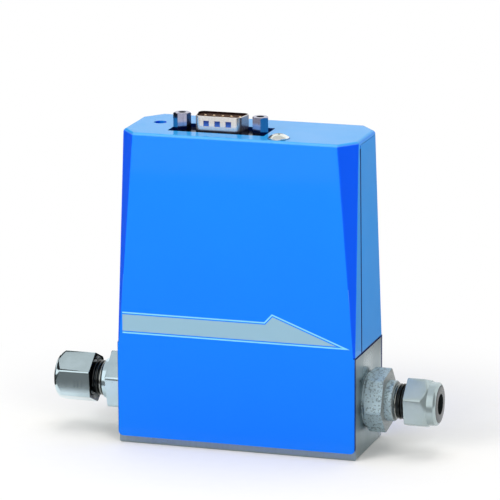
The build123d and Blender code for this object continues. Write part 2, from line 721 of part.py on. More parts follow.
def nut(side):
    """Nut drawn outwards from the block's face along +X."""
    hexagon = chamfered_hexagon(NUT_HEX, side.nut_start, side.nut_hex_end, side.nut_turn, True, True)
    collar = turned([
        (side.nut_hex_end, 0),
        (side.nut_hex_end, NUT_COLLAR_RADIUS),
        (side.nut_end - NUT_COLLAR_ROUND, NUT_COLLAR_RADIUS),
        (side.nut_end - NUT_COLLAR_ROUND * 0.3, NUT_COLLAR_RADIUS - NUT_COLLAR_ROUND * 0.4),
        (side.nut_end, NUT_COLLAR_RADIUS - NUT_COLLAR_ROUND),
        (side.nut_end, 0),
    ])
    thread = NECK_RADIUS + THREAD_CLEARANCE
    seat = side.back_ferrule_start + BACK_FERRULE_HEAD
    bore = turned([
        (side.nut_start - 1, 0),
        (side.nut_start - 1, thread + NUT_MOUTH_CHAMFER),
        (side.nut_start, thread + NUT_MOUTH_CHAMFER),
        (side.nut_start + NUT_MOUTH_CHAMFER, thread),
        (seat, thread),
        (seat, FERRULE_SEAT + FERRULE_HEAD_STEP),
        (side.back_ferrule_end, TUBE_BORE_RADIUS + FERRULE_EDGE),
        (side.back_ferrule_end, TUBE_BORE_RADIUS),
        (side.nut_end + 1, TUBE_BORE_RADIUS),
        (side.nut_end + 1, 0),
    ])
    return hexagon + collar - bore


# ---------------------------------------------------------------- sensor
def sensor_base():
    half = SENSOR_BASE_LENGTH / 2
    front = SENSOR_Y - SENSOR_BASE_DEPTH / 2
    rear = SENSOR_Y + SENSOR_BASE_DEPTH / 2
    base = rounded_plate((-half, half), (front, rear), (BLOCK_TOP, BLOCK_TOP + SENSOR_FLANGE), 2.0)
    boss = SENSOR_BOSS_LENGTH / 2
    base += rounded_plate((-boss, boss), (front, rear), (BLOCK_TOP, SENSOR_TOP), 2.0)
    for x in TAP_POSITIONS:
        base -= rod_z(x, SENSOR_Y, BLOCK_TOP, SENSOR_TOP - CAPILLARY_SOCKET, TAP_RADIUS)
        socket = SENSOR_TOP - CAPILLARY_SOCKET
        base -= rod_z(x, SENSOR_Y, socket, SENSOR_TOP, CAPILLARY_RADIUS + SEAT_CLEARANCE / 2)
    for x in (-SENSOR_SCREW_SPACING / 2, SENSOR_SCREW_SPACING / 2):
        base -= rod_z(x, SENSOR_Y, BLOCK_TOP, BLOCK_TOP + SENSOR_FLANGE, SCREW_RADIUS + PASS_CLEARANCE)
    return base


def sensor_tube():
    left, right = TAP_POSITIONS
    foot = SENSOR_TOP - CAPILLARY_SOCKET
    path = FilletPolyline(
        (left, SENSOR_Y, foot),
        (left, SENSOR_Y, CAPILLARY_TOP),
        (right, SENSOR_Y, CAPILLARY_TOP),
        (right, SENSOR_Y, foot),
        radius=CAPILLARY_BEND,
    )
    section = Plane(origin=path @ 0, z_dir=path % 0) * (
        Circle(CAPILLARY_RADIUS) - Circle(CAPILLARY_RADIUS - CAPILLARY_WALL)
    )
    return sweep(section, path)


def winding(side):
    """Heater and sensing winding on the capillary's level stretch."""
    near = WINDING_GAP / 2
    stations = sorted((side * near, side * (near + WINDING_LENGTH)))
    outer = rod_x(SENSOR_Y, CAPILLARY_TOP, *stations, WINDING_RADIUS)
    return outer - rod_x(SENSOR_Y, CAPILLARY_TOP, *stations, CAPILLARY_RADIUS + SEAT_CLEARANCE / 2)


def sensor_case():
    half = CASE_LENGTH / 2
    y = (SENSOR_Y - CASE_DEPTH / 2, SENSOR_Y + CASE_DEPTH / 2)
    top = SENSOR_TOP + CASE_HEIGHT
    case = rounded_plate((-half, half), y, (SENSOR_TOP, top), CASE_CORNER)
    case = fillet(case.faces().sort_by(Axis.Z)[-1].edges(), 1.0)
    inner_y = (y[0] + CASE_WALL, y[1] - CASE_WALL)
    inner = half - CASE_WALL
    corner = CASE_CORNER - CASE_WALL
    return case - rounded_plate((-inner, inner), inner_y, (SENSOR_TOP, top - CASE_WALL), corner)


def sensor_terminal_board():
    half = TERMINAL_LENGTH / 2
    front = SENSOR_Y + WINDING_RADIUS + 0.7
    rear = front + TERMINAL_THICKNESS
    board = block_between((-half, half), (front, rear), (SENSOR_TOP, SENSOR_TOP + TERMINAL_HEIGHT))
    for index in range(4):
        x = (index - 1.5) * TERMINAL_LENGTH / 5
        level = SENSOR_TOP + TERMINAL_HEIGHT * 0.75
        board -= rod_y(x, level, front - 1, rear + 1, TERMINAL_HOLE_RADIUS)
    return board


def sensor_seals():
    level = BLOCK_TOP - SEAL_GROOVE_DEPTH / 2
    return [Pos(x, SENSOR_Y, level) * Torus(SENSOR_SEAL_RADIUS, SENSOR_SEAL_SECTION) for x in TAP_POSITIONS]


def sensor_screws():
    screw = dome_screw(PAN_HEAD_RADIUS, PAN_HEAD_HEIGHT, SENSOR_SCREW_LENGTH)
    level = BLOCK_TOP + SENSOR_FLANGE
    return [Pos(side * SENSOR_SCREW_SPACING / 2, SENSOR_Y, level) * screw for side in (-1, 1)]


# ---------------------------------------------------------------- chassis
def chassis_bracket():
    half = CHASSIS_WIDTH / 2
    y = (CHASSIS_FRONT_Y, CHASSIS_REAR_Y)
    plate = block_between((-half, half), y, (BLOCK_TOP, SHELF_TOP))
    foot_y = (CHASSIS_REAR_Y - CHASSIS_FOOT_DEPTH, CHASSIS_REAR_Y)
    plate += block_between((-half, half), foot_y, (BLOCK_TOP, BLOCK_TOP + CHASSIS_SHEET))
    outside = [e for e in plate.edges().filter_by(Axis.X) if e.center().Y > CHASSIS_REAR_Y - 0.01]
    plate = fillet([e for e in outside if e.center().Z < BLOCK_TOP + 0.01], CHASSIS_BEND)
    shelf_y = (SHELF_FRONT_Y, CHASSIS_REAR_Y)
    shelf = block_between((SHELF_LEFT, SHELF_RIGHT), shelf_y, (SHELF_UNDERSIDE, SHELF_TOP))
    front_corners = [e for e in shelf.edges().filter_by(Axis.Z) if e.center().Y < 0]
    shelf = fillet(front_corners, 1.5)
    for x in ((-half - 1, SHELF_LEFT), (SHELF_RIGHT, half + 1)):
        plate -= block_between(x, (y[0] - 1, y[1] + 1), (MAIN_BOARD_TOP + 2, SHELF_TOP + 1))
    bracket = plate + shelf
    width = REAR_BODY_WIDTH / 2 + PASS_CLEARANCE
    depth = REAR_BODY_DEPTH / 2 + PASS_CLEARANCE
    bracket -= rounded_plate(
        (CONNECTOR_X - width, CONNECTOR_X + width),
        (CONNECTOR_Y - depth, CONNECTOR_Y + depth),
        (SHELF_UNDERSIDE - 1, SHELF_TOP + 1),
        1.0,
    )
    stud = JACK_STUD_RADIUS + PASS_CLEARANCE
    for x in JACK_POSITIONS:
        bracket -= rod_z(x, CONNECTOR_Y, SHELF_UNDERSIDE - 1, SHELF_TOP + 1, stud)
    clinch = CLINCH_SHANK_RADIUS + THREAD_CLEARANCE / 2
    bracket -= rod_z(TOP_SCREW_X, TOP_SCREW_Y, SHELF_UNDERSIDE - 1, SHELF_TOP + 1, clinch)
    for side in (-1, 1):
        x = side * CHASSIS_SCREW_SPACING / 2
        hole = SCREW_RADIUS + PASS_CLEARANCE
        bracket -= rod_z(x, CHASSIS_SCREW_Y, BLOCK_TOP - 1, BLOCK_TOP + CHASSIS_SHEET + 1, hole)
    return bracket


def chassis_screws():
    screw = dome_screw(PAN_HEAD_RADIUS, PAN_HEAD_HEIGHT, FOOT_SCREW_LENGTH)
    level = BLOCK_TOP + CHASSIS_SHEET
    return [Pos(side * CHASSIS_SCREW_SPACING / 2, CHASSIS_SCREW_Y, level) * screw for side in (-1, 1)]


def cover_clinch_nut():
    collar = ring_z(TOP_SCREW_X, TOP_SCREW_Y, SHELF_TOP, PLATE_UNDERSIDE, 0.1, CLINCH_COLLAR_RADIUS)
    low = SHELF_UNDERSIDE - CLINCH_TAIL
    shank = rod_z(TOP_SCREW_X, TOP_SCREW_Y, low, SHELF_TOP, CLINCH_SHANK_RADIUS)
    hole = rod_z(TOP_SCREW_X, TOP_SCREW_Y, low, PLATE_UNDERSIDE, SCREW_RADIUS + THREAD_CLEARANCE)
    return collar + shank - hole


def cover_top_screw():
    screw = dome_screw(TRUSS_HEAD_RADIUS, TRUSS_HEAD_HEIGHT, TOP_SCREW_LENGTH)
    return Pos(TOP_SCREW_X, TOP_SCREW_Y, COVER_TOP) * screw


def rear_cover_screws():
    screw = Rot(-90, 0, 0) * dome_screw(PAN_HEAD_RADIUS, PAN_HEAD_HEIGHT, REAR_SCREW_LENGTH)
    z = BLOCK_TOP - REAR_SCREW_DROP
    return [Pos(side * REAR_SCREW_SPACING / 2, BODY_DEPTH / 2, z) * screw for side in (-1, 1)]


# ---------------------------------------------------------------- connector
def flange_plate(low, high):
    """Connector flange with its two screw holes."""
    half = FLANGE_LENGTH / 2
    depth = FLANGE_DEPTH / 2
    plate = rounded_plate(
        (CONNECTOR_X - half, CONNECTOR_X + half),
        (CONNECTOR_Y - depth, CONNECTOR_Y + depth),
        (low, high),
        FLANGE_CORNER,
    )
    for x in JACK_POSITIONS:
        plate -= rod_z(x, CONNECTOR_Y, low - 1, high + 1, JACK_STUD_RADIUS + PASS_CLEARANCE / 2)
    return plate


def connector_front_shell():
    low = FLANGE_TOP - FLANGE_THICKNESS
    top = FLANGE_TOP + SHELL_HEIGHT
    shell = flange_plate(low, FLANGE_TOP)
    tube = d_prism(SHELL_WIDTH, SHELL_DEPTH, SHELL_CORNER, low, top)
    rim = [e for e in tube.edges() if e.center().Z > top - 0.01]
    shell += fillet(rim, 0.15)
    inner_width = SHELL_WIDTH - 2 * SHELL_WALL
    inner_depth = SHELL_DEPTH - 2 * SHELL_WALL
    shell -= d_prism(inner_width, inner_depth, SHELL_CORNER - SHELL_WALL, low - 1, top + 1)
    front = CONNECTOR_Y - SHELL_DEPTH / 2
    for index in (-1, 0, 1):
        x = CONNECTOR_X + DIMPLE_OFFSET + index * DIMPLE_PITCH
        z = FLANGE_TOP + DIMPLE_CENTRE
        shell -= block_between(
            (x - DIMPLE_WIDTH / 2, x + DIMPLE_WIDTH / 2),
            (front - 1, front + DIMPLE_DEPTH),
            (z - DIMPLE_HEIGHT / 2, z + DIMPLE_HEIGHT / 2),
        )
    return shell


def connector_rear_shell():
    top = FLANGE_TOP - FLANGE_THICKNESS
    shell = flange_plate(SHELF_TOP, top)
    shell += d_prism(REAR_BODY_WIDTH, REAR_BODY_DEPTH, SHELL_CORNER, REAR_BODY_BOTTOM, top)
    inner_width = REAR_BODY_WIDTH - 2 * SHELL_WALL
    inner_depth = REAR_BODY_DEPTH - 2 * SHELL_WALL
    return shell - d_prism(inner_width, inner_depth, SHELL_CORNER - SHELL_WALL, REAR_BODY_BOTTOM - 1, top + 1)


def pin_positions():
    """Pin places: five towards the rear, four towards the front."""
    rear = [(CONNECTOR_X + (i - 2) * PIN_PITCH, CONNECTOR_Y + PIN_ROW_PITCH / 2) for i in range(5)]
    front = [(CONNECTOR_X + (i - 1.5) * PIN_PITCH, CONNECTOR_Y - PIN_ROW_PITCH / 2) for i in range(4)]
    return rear + front


def connector_insulator():
    snug = 2 * (SHELL_WALL + SEAT_CLEARANCE)
    corner = SHELL_CORNER - SHELL_WALL - SEAT_CLEARANCE
    seat = FLANGE_TOP - FLANGE_THICKNESS
    body = d_prism(SHELL_WIDTH - snug, SHELL_DEPTH - snug, corner, seat, FLANGE_TOP + INSULATOR_FACE)
    body += d_prism(REAR_BODY_WIDTH - snug, REAR_BODY_DEPTH - snug, corner, INSULATOR_BOTTOM, seat)
    for x, y in pin_positions():
        body -= rod_z(x, y, INSULATOR_BOTTOM - 1, COVER_TOP, PIN_RADIUS + SEAT_CLEARANCE / 2)
    return body


def connector_pins():
    pins = []
    top = FLANGE_TOP + INSULATOR_FACE + PIN_LENGTH
    for x, y in pin_positions():
        pin = rod_z(x, y, INSULATOR_BOTTOM, top, PIN_RADIUS)
        pin = chamfer([e for e in pin.edges().filter_by(GeomType.CIRCLE) if e.center().Z > top - 0.01], 0.25)
        pin += rod_z(x, y, CONNECTOR_BOARD_BOTTOM - TAIL_PROTRUSION, INSULATOR_BOTTOM, TAIL_RADIUS)
        pins.append(pin)
    return pins


def jackscrew(x, turn):
    top = FLANGE_TOP + JACK_HEIGHT
    corner = JACK_HEX / math.cos(math.radians(30)) / 2
    run = JACK_TOP_EDGE * math.tan(math.radians(HEX_CHAMFER_ANGLE))
    sketch = Pos(0, 0, FLANGE_TOP) * Rot(0, 0, turn) * RegularPolygon(JACK_HEX / 2, 6, major_radius=False)
    body = extrude(sketch, JACK_HEIGHT)
    blank = rod_z(0, 0, FLANGE_TOP, top, corner)
    rim = [e for e in blank.edges().filter_by(GeomType.CIRCLE) if e.center().Z > top - 0.01]
    body &= chamfer(rim, run, JACK_TOP_EDGE)
    body += rod_z(0, 0, FLANGE_TOP - JACK_STUD_LENGTH, FLANGE_TOP, JACK_STUD_RADIUS)
    body -= rod_z(0, 0, top - JACK_SOCKET_DEPTH, top + 1, JACK_SOCKET_RADIUS)
    return Pos(x, CONNECTOR_Y, 0) * body


def jackscrew_washers():
    high = SHELF_UNDERSIDE
    low = high - LOCK_WASHER_THICKNESS
    inner = JACK_STUD_RADIUS + PASS_CLEARANCE / 2
    return [ring_z(x, CONNECTOR_Y, low, high, inner, LOCK_WASHER_RADIUS) for x in JACK_POSITIONS]


def jackscrew_nuts():
    high = SHELF_UNDERSIDE - LOCK_WASHER_THICKNESS
    sketch = Pos(0, 0, high - JACK_NUT_HEIGHT) * RegularPolygon(JACK_HEX / 2, 6, major_radius=False)
    body = extrude(sketch, JACK_NUT_HEIGHT)
    body -= rod_z(0, 0, high - JACK_NUT_HEIGHT, high, JACK_STUD_RADIUS + THREAD_CLEARANCE)
    return [Pos(x, CONNECTOR_Y, 0) * body for x in JACK_POSITIONS]


# ---------------------------------------------------------------- boards
def main_board():
    half = MAIN_BOARD_WIDTH / 2
    y = (MAIN_BOARD_FRONT_Y, MAIN_BOARD_REAR_Y)
    board = block_between((-half, half), y, (MAIN_BOARD_BOTTOM, MAIN_BOARD_TOP))
    hole = SCREW_RADIUS + PASS_CLEARANCE
    for x, z in STANDOFF_POSITIONS:
        board -= rod_y(x, z, MAIN_BOARD_FRONT_Y - 1, MAIN_BOARD_REAR_Y + 1, hole)
    return board


def board_standoffs():
    pieces = []
    for x, z in STANDOFF_POSITIONS:
        post = rod_y(x, z, MAIN_BOARD_REAR_Y, CHASSIS_FRONT_Y, STANDOFF_RADIUS)
        post -= rod_y(x, z, MAIN_BOARD_REAR_Y, CHASSIS_FRONT_Y, SCREW_RADIUS + THREAD_CLEARANCE)
        pieces.append(post)
    return pieces


def board_screws():
    length = BOARD_THICKNESS + BOARD_SCREW_LENGTH
    screw = Rot(90, 0, 0) * dome_screw(PAN_HEAD_RADIUS, PAN_HEAD_HEIGHT, length)
    return [Pos(x, MAIN_BOARD_FRONT_Y, z) * screw for x, z in STANDOFF_POSITIONS]


def amplifier_chips():
    width, height, thickness = CHIP_SIZE
    z = MAIN_BOARD_BOTTOM + CHIP_LEVEL
    chips = []
    for index in (-1, 0, 1):
        x = index * CHIP_PITCH
        chip = block_between(
            (x - width / 2, x + width / 2),
            (MAIN_BOARD_FRONT_Y - thickness, MAIN_BOARD_FRONT_Y),
            (z - height / 2, z + height / 2),
        )
        chips.append(chip)
    return chips


def filter_capacitors():
    z = MAIN_BOARD_BOTTOM + CAPACITOR_LEVEL
    cans = []
    for side in (-1, 1):
        x = CAPACITOR_X + side * CAPACITOR_PITCH / 2
        can = rod_y(x, z, MAIN_BOARD_FRONT_Y - CAPACITOR_LENGTH, MAIN_BOARD_FRONT_Y, CAPACITOR_RADIUS)
        front = [e for e in can.edges().filter_by(GeomType.CIRCLE) if e.center().Y < MAIN_BOARD_FRONT_Y - 1]
        cans.append(fillet(front, 0.6))
    return cans


def voltage_regulator():
    width, height, thickness = REGULATOR_SIZE
    z = MAIN_BOARD_BOTTOM + REGULATOR_LEVEL
    return block_between(
        (REGULATOR_X - width / 2, REGULATOR_X + width / 2),
        (MAIN_BOARD_FRONT_Y - thickness, MAIN_BOARD_FRONT_Y),
        (z - height / 2, z + height / 2),
    )


def header_stations():
    return [(index - (HEADER_PINS - 1) / 2) * HEADER_PITCH for index in range(HEADER_PINS)]


def board_link_header():
    half = HEADER_PINS * HEADER_PITCH / 2
    top = MAIN_BOARD_TOP - HEADER_DROP
    y = (MAIN_BOARD_FRONT_Y - HEADER_WIDTH, MAIN_BOARD_FRONT_Y)
    height = (top - HEADER_HEIGHT, top)
    body = block_between((-half, half), y, height)
    hole = HEADER_PIN / 2 + SEAT_CLEARANCE / 2
    middle = MAIN_BOARD_FRONT_Y - HEADER_WIDTH / 2
    for x in header_stations():
        body -= block_between((x - hole, x + hole), (middle - hole, middle + hole), height)
    return body


def board_link_pins():
    low = MAIN_BOARD_TOP - HEADER_DROP - HEADER_HEIGHT
    high = CONNECTOR_BOARD_TOP + TAIL_PROTRUSION
    middle = MAIN_BOARD_FRONT_Y - HEADER_WIDTH / 2
    half = HEADER_PIN / 2
    y = (middle - half, middle + half)
    return [block_between((x - half, x + half), y, (low, high)) for x in header_stations()]


def connector_board():
    board = rounded_plate(
        (CONNECTOR_BOARD_LEFT, CONNECTOR_BOARD_RIGHT),
        (CONNECTOR_BOARD_FRONT, CONNECTOR_BOARD_REAR),
        (CONNECTOR_BOARD_BOTTOM, CONNECTOR_BOARD_TOP),
        1.5,
    )
    for x, y in pin_positions():
        board -= rod_z(x, y, CONNECTOR_BOARD_BOTTOM, CONNECTOR_BOARD_TOP, TAIL_RADIUS + SEAT_CLEARANCE / 2)
    hole = HEADER_PIN / 2 + SEAT_CLEARANCE / 2
    middle = MAIN_BOARD_FRONT_Y - HEADER_WIDTH / 2
    for x in header_stations():
        z = (CONNECTOR_BOARD_BOTTOM, CONNECTOR_BOARD_TOP)
        board -= block_between((x - hole, x + hole), (middle - hole, middle + hole), z)
    return board


# ---------------------------------------------------------------- zero trimmer
def zero_trimmer_body():
    top = CONNECTOR_BOARD_TOP + TRIMMER_HEIGHT
    body = block_between(
        (ZERO_X - TRIMMER_WIDTH / 2, ZERO_X + TRIMMER_WIDTH / 2),
        (ZERO_Y - TRIMMER_DEPTH / 2, ZERO_Y + TRIMMER_DEPTH / 2),
        (CONNECTOR_BOARD_TOP, top),
    )
    body = chamfer(body.faces().sort_by(Axis.Z)[-1].edges(), 0.3)
    floor = top + ROTOR_PROUD - ROTOR_HEIGHT - RUNNING_CLEARANCE
    return body - rod_z(ZERO_X, ZERO_Y, floor, top, ROTOR_RADIUS + RUNNING_CLEARANCE)


def zero_trimmer_rotor():
    top = CONNECTOR_BOARD_TOP + TRIMMER_HEIGHT + ROTOR_PROUD
    rotor = rod_z(ZERO_X, ZERO_Y, top - ROTOR_HEIGHT, top, ROTOR_RADIUS)
    slot = Box(2 * ROTOR_RADIUS + 1, ROTOR_SLOT_WIDTH, 2 * ROTOR_SLOT_DEPTH)
    return rotor - Pos(ZERO_X, ZERO_Y, top) * Rot(0, 0, 35) * slot


# ---------------------------------------------------------------- nodes
def nodes():
    """Every node's name and its solid or list of solids."""
    return {
        "base_block": base_block(),
        "front_cover": front_cover(),
        "rear_cover": rear_cover(),
        "rear_cover_screws": rear_cover_screws(),
        "cover_top_screw": cover_top_screw(),
        "cover_clinch_nut": cover_clinch_nut(),
        "inlet_fitting_body": at_inlet(fitting_body(INLET)),
        "outlet_fitting_body": at_outlet(fitting_body(OUTLET)),
        "inlet_port_seal": at_inlet(port_seal()),
        "outlet_port_seal": at_outlet(port_seal()),
        "inlet_front_ferrule": at_inlet(front_ferrule(INLET)),
        "outlet_front_ferrule": at_outlet(front_ferrule(OUTLET)),
        "inlet_back_ferrule": at_inlet(back_ferrule(INLET)),
        "outlet_back_ferrule": at_outlet(back_ferrule(OUTLET)),
        "inlet_nut": at_inlet(nut(INLET)),
        "outlet_nut": at_outlet(nut(OUTLET)),
        "inlet_screen": inlet_screen(),
        "bypass_element": bypass_element(),
        "bypass_retainer": bypass_retainer(),
        "sensor_base": sensor_base(),
        "sensor_tube": sensor_tube(),
        "upstream_winding": winding(-1),
        "downstream_winding": winding(1),
        "sensor_case": sensor_case(),
        "sensor_terminal_board": sensor_terminal_board(),
        "sensor_seals": sensor_seals(),
        "sensor_screws": sensor_screws(),
        "chassis_bracket": chassis_bracket(),
        "chassis_screws": chassis_screws(),
        "connector_front_shell": connector_front_shell(),
        "connector_rear_shell": connector_rear_shell(),
        "connector_insulator": connector_insulator(),
        "connector_pins": connector_pins(),
        "left_jackscrew": jackscrew(JACK_POSITIONS[0], LEFT_JACK_TURN),
        "right_jackscrew": jackscrew(JACK_POSITIONS[1], RIGHT_JACK_TURN),
        "jackscrew_washers": jackscrew_washers(),
        "jackscrew_nuts": jackscrew_nuts(),
        "main_board": main_board(),
        "board_standoffs": board_standoffs(),
        "board_screws": board_screws(),
        "amplifier_chips": amplifier_chips(),
        "filter_capacitors": filter_capacitors(),
        "voltage_regulator": voltage_regulator(),
        "board_link_header": board_link_header(),
        "board_link_pins": board_link_pins(),
        "connector_board": connector_board(),
        "zero_trimmer_body": zero_trimmer_body(),
        "zero_trimmer_rotor": zero_trimmer_rotor(),
    }


os.makedirs("parts", exist_ok=True)
for name, shape in nodes().items():
    solid = Compound(children=list(shape)) if isinstance(shape, list) else shape
    export_step(solid, f"parts/{name}.step")
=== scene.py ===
"""Studio scene of a thermal mass flow meter: folded blue cover, steel block, tube fittings.

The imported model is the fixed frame. Lengths are metres, the origin is the middle of the block's
base, +X runs along the flow, -Y is the front and +Z is up.
"""

from __future__ import annotations

import json
import logging
import math
from dataclasses import dataclass, field
from enum import Enum
from typing import Any, Mapping, Sequence

import bmesh
import bpy
from mathutils import Euler, Matrix, Vector

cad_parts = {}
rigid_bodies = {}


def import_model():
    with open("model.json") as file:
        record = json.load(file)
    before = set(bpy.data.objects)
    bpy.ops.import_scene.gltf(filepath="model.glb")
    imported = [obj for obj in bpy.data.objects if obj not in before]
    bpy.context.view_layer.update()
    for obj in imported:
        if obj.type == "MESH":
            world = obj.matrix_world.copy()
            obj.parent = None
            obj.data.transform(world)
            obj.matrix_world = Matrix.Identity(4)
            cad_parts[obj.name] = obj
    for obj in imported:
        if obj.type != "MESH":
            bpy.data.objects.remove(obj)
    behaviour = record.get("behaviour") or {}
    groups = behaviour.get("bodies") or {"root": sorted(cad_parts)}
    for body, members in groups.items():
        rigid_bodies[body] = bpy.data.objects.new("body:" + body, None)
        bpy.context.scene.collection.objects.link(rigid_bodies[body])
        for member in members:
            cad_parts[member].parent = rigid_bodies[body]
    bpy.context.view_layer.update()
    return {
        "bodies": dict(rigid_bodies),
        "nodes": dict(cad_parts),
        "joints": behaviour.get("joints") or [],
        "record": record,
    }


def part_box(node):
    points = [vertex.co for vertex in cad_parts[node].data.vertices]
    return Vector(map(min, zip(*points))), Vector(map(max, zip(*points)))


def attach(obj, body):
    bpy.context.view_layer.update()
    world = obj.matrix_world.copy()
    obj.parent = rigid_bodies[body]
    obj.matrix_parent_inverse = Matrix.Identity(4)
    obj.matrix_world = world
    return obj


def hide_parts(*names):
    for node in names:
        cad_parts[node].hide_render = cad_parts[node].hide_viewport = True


LOG = logging.getLogger("flow_meter")
MM = 0.001
Colour = tuple[float, float, float]
Socket = bpy.types.NodeSocket
WHITE = (1.0, 1.0, 1.0, 1.0)


def srgb(red: int, green: int, blue: int) -> Colour:
    """Turns a display colour into the linear values that shaders take.

    Args:
        red: red from 0 to 255.
        green: green from 0 to 255.
        blue: blue from 0 to 255.

    Returns:
        The linear colour.
    """

    def linear(value: float) -> float:
        """Turns one display value into a linear one."""
        return value / 12.92 if value <= 0.04045 else ((value + 0.055) / 1.055) ** 2.4

    return linear(red / 255), linear(green / 255), linear(blue / 255)


def rgba(colour: Sequence[float]) -> tuple[float, float, float, float]:
    """Adds full opacity to a colour.

    Args:
        colour: three linear values.

    Returns:
        Four values for a colour socket.
    """
    return colour[0], colour[1], colour[2], 1.0


# ------------------------------------------------------------------ node trees
class Tree:
    """Short way to add and join nodes in one node tree."""

    def __init__(self, tree: bpy.types.NodeTree) -> None:
        """Wraps a node tree."""
        self.tree = tree

    def put(self, socket: Socket, value: Any) -> None:
        """Links a socket to another, or sets its own value.

        Args:
            socket: the input to fill.
            value: an output socket or a plain value.
        """
        if isinstance(value, Socket):
            self.tree.links.new(value, socket)
        else:
            socket.default_value = value

    def add(self, kind: str, inputs: Mapping[Any, Any] | None = None, **settings: Any) -> bpy.types.Node:
        """Adds a node.

        Args:
            kind: the node's type name.
            inputs: values or output sockets by input name or index.
            **settings: the node's own properties.

        Returns:
            The node.
        """
        node = self.tree.nodes.new(kind)
        for name, value in settings.items():
            setattr(node, name, value)
        for key, value in (inputs or {}).items():
            self.put(node.inputs[key], value)
        return node

    def math(self, operation: str, *values: Any, clamp: bool = False) -> Socket:
        """Adds a Math node.

        Args:
            operation: the node's operation.
            *values: one to three values or sockets.
            clamp: whether the result is kept from 0 to 1.

        Returns:
            The result socket.
        """
        node = self.add("ShaderNodeMath", dict(enumerate(values)), operation=operation, use_clamp=clamp)
        return node.outputs[0]

    def chain(self, operation: str, *values: Any) -> Socket:
        """Runs a two-value operation along a row of values.

        Args:
            operation: the Math node's operation.
            *values: two or more values or sockets.

        Returns:
            The last result's socket.
        """
        result = values[0]
        for value in values[1:]:
            result = self.math(operation, result, value)
        return result

    def times(self, *values: Any) -> Socket:
        """Multiplies the values together."""
        return self.chain("MULTIPLY", *values)

    def most(self, *values: Any) -> Socket:
        """Gives the largest value."""
        return self.chain("MAXIMUM", *values)

    def least(self, *values: Any) -> Socket:
        """Gives the smallest value."""
        return self.chain("MINIMUM", *values)

    def minus(self, first: Any, second: Any) -> Socket:
        """Takes the second value from the first."""
        return self.math("SUBTRACT", first, second)

    def absolute(self, value: Any) -> Socket:
        """Gives a value without its sign."""
        return self.math("ABSOLUTE", value)

    def above(self, value: Any, limit: Any) -> Socket:
        """Gives 1 where the value is above the limit."""
        return self.math("GREATER_THAN", value, limit)

    def below(self, value: Any, limit: Any) -> Socket:
        """Gives 1 where the value is below the limit."""
        return self.math("LESS_THAN", value, limit)

    def reach(self, first: Any, second: Any) -> Socket:
        """Gives how far two square-on distances reach together."""
        return self.math("SQRT", self.math("ADD", self.times(first, first), self.times(second, second)))

    def vector(self, operation: str, *values: Any, output: str = "Vector") -> Socket:
        """Adds a Vector Math node.

        Args:
            operation: the node's operation.
            *values: vectors or sockets.
            output: name of the result wanted.

        Returns:
            The result socket.
        """
        node = self.add("ShaderNodeVectorMath", dict(enumerate(values)), operation=operation)
        return node.outputs[output]

    def mix(self, factor: Any, first: Any, second: Any) -> Socket:
        """Mixes two colours.

        Args:
            factor: share of the second.
            first: colour at 0.
            second: colour at 1.

        Returns:
            The mixed colour's socket.
        """
        node = self.add("ShaderNodeMix", data_type="RGBA")
        self.put(node.inputs[0], factor)
        self.put(node.inputs[6], first)
        self.put(node.inputs[7], second)
        return node.outputs[2]

    def step(self, value: Any, low: Any, high: Any, out: tuple[float, float] = (0.0, 1.0)) -> Socket:
        """Maps a range smoothly onto another.

        Args:
            value: the socket to read.
            low: value that gives the first output.
            high: value that gives the second output.
            out: the two outputs.

        Returns:
            The mapped value's socket.
        """
        node = self.add(
            "ShaderNodeMapRange",
            {"Value": value, "From Min": low, "From Max": high, "To Min": out[0], "To Max": out[1]},
            interpolation_type="SMOOTHSTEP",
        )
        return node.outputs["Result"]

    def fill(self, leave: bpy.types.Node, values: Mapping[str, Any]) -> None:
        """Fills a group's outputs.

        Args:
            leave: the group's output node.
            values: sockets by output name.
        """
        for name, value in values.items():
            self.put(leave.inputs[name], value)

    def split(self, value: Any) -> tuple[Socket, Socket, Socket]:
        """Parts a vector into its three values.

        Args:
            value: the vector's socket.

        Returns:
            The X, Y and Z sockets.
        """
        node = self.add("ShaderNodeSeparateXYZ", {0: value})
        return node.outputs[0], node.outputs[1], node.outputs[2]


@dataclass(frozen=True)
class Port:
    """One named socket of a node group."""

    name: str
    kind: str = "NodeSocketFloat"
    value: Any = None


def new_group(
    name: str, ins: Sequence[Port], outs: Sequence[Port]
) -> tuple[Tree, Mapping[str, Any], bpy.types.Node]:
    """Makes an empty shader node group with its sockets.

    Args:
        name: the group's name.
        ins: its inputs.
        outs: its outputs.

    Returns:
        The group's tree, its inputs by name, and its output node.
    """
    tree = bpy.data.node_groups.new(name, "ShaderNodeTree")
    for port, way in [(p, "INPUT") for p in ins] + [(p, "OUTPUT") for p in outs]:
        item = tree.interface.new_socket(port.name, in_out=way, socket_type=port.kind)
        if port.value is not None:
            item.default_value = port.value
    entry = tree.nodes.new("NodeGroupInput")
    leave = tree.nodes.new("NodeGroupOutput")
    return Tree(tree), {p.name: entry.outputs[p.name] for p in ins}, leave


def cleared(owner: bpy.types.Material | bpy.types.World) -> Tree:
    """Gives a material or world an empty node tree.

    Args:
        owner: the material or world.

    Returns:
        Its tree.
    """
    owner.use_nodes = True
    owner.node_tree.nodes.clear()
    return Tree(owner.node_tree)


def screw_ring() -> tuple[tuple[float, float, float], float]:
    """Reads where the cover's top screw stands and how wide its head is.

    Returns:
        The head's middle and its radius.
    """
    low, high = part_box("cover_top_screw")
    return ((low.x + high.x) / 2, (low.y + high.y) / 2, 0.0), (high.x - low.x) / 2


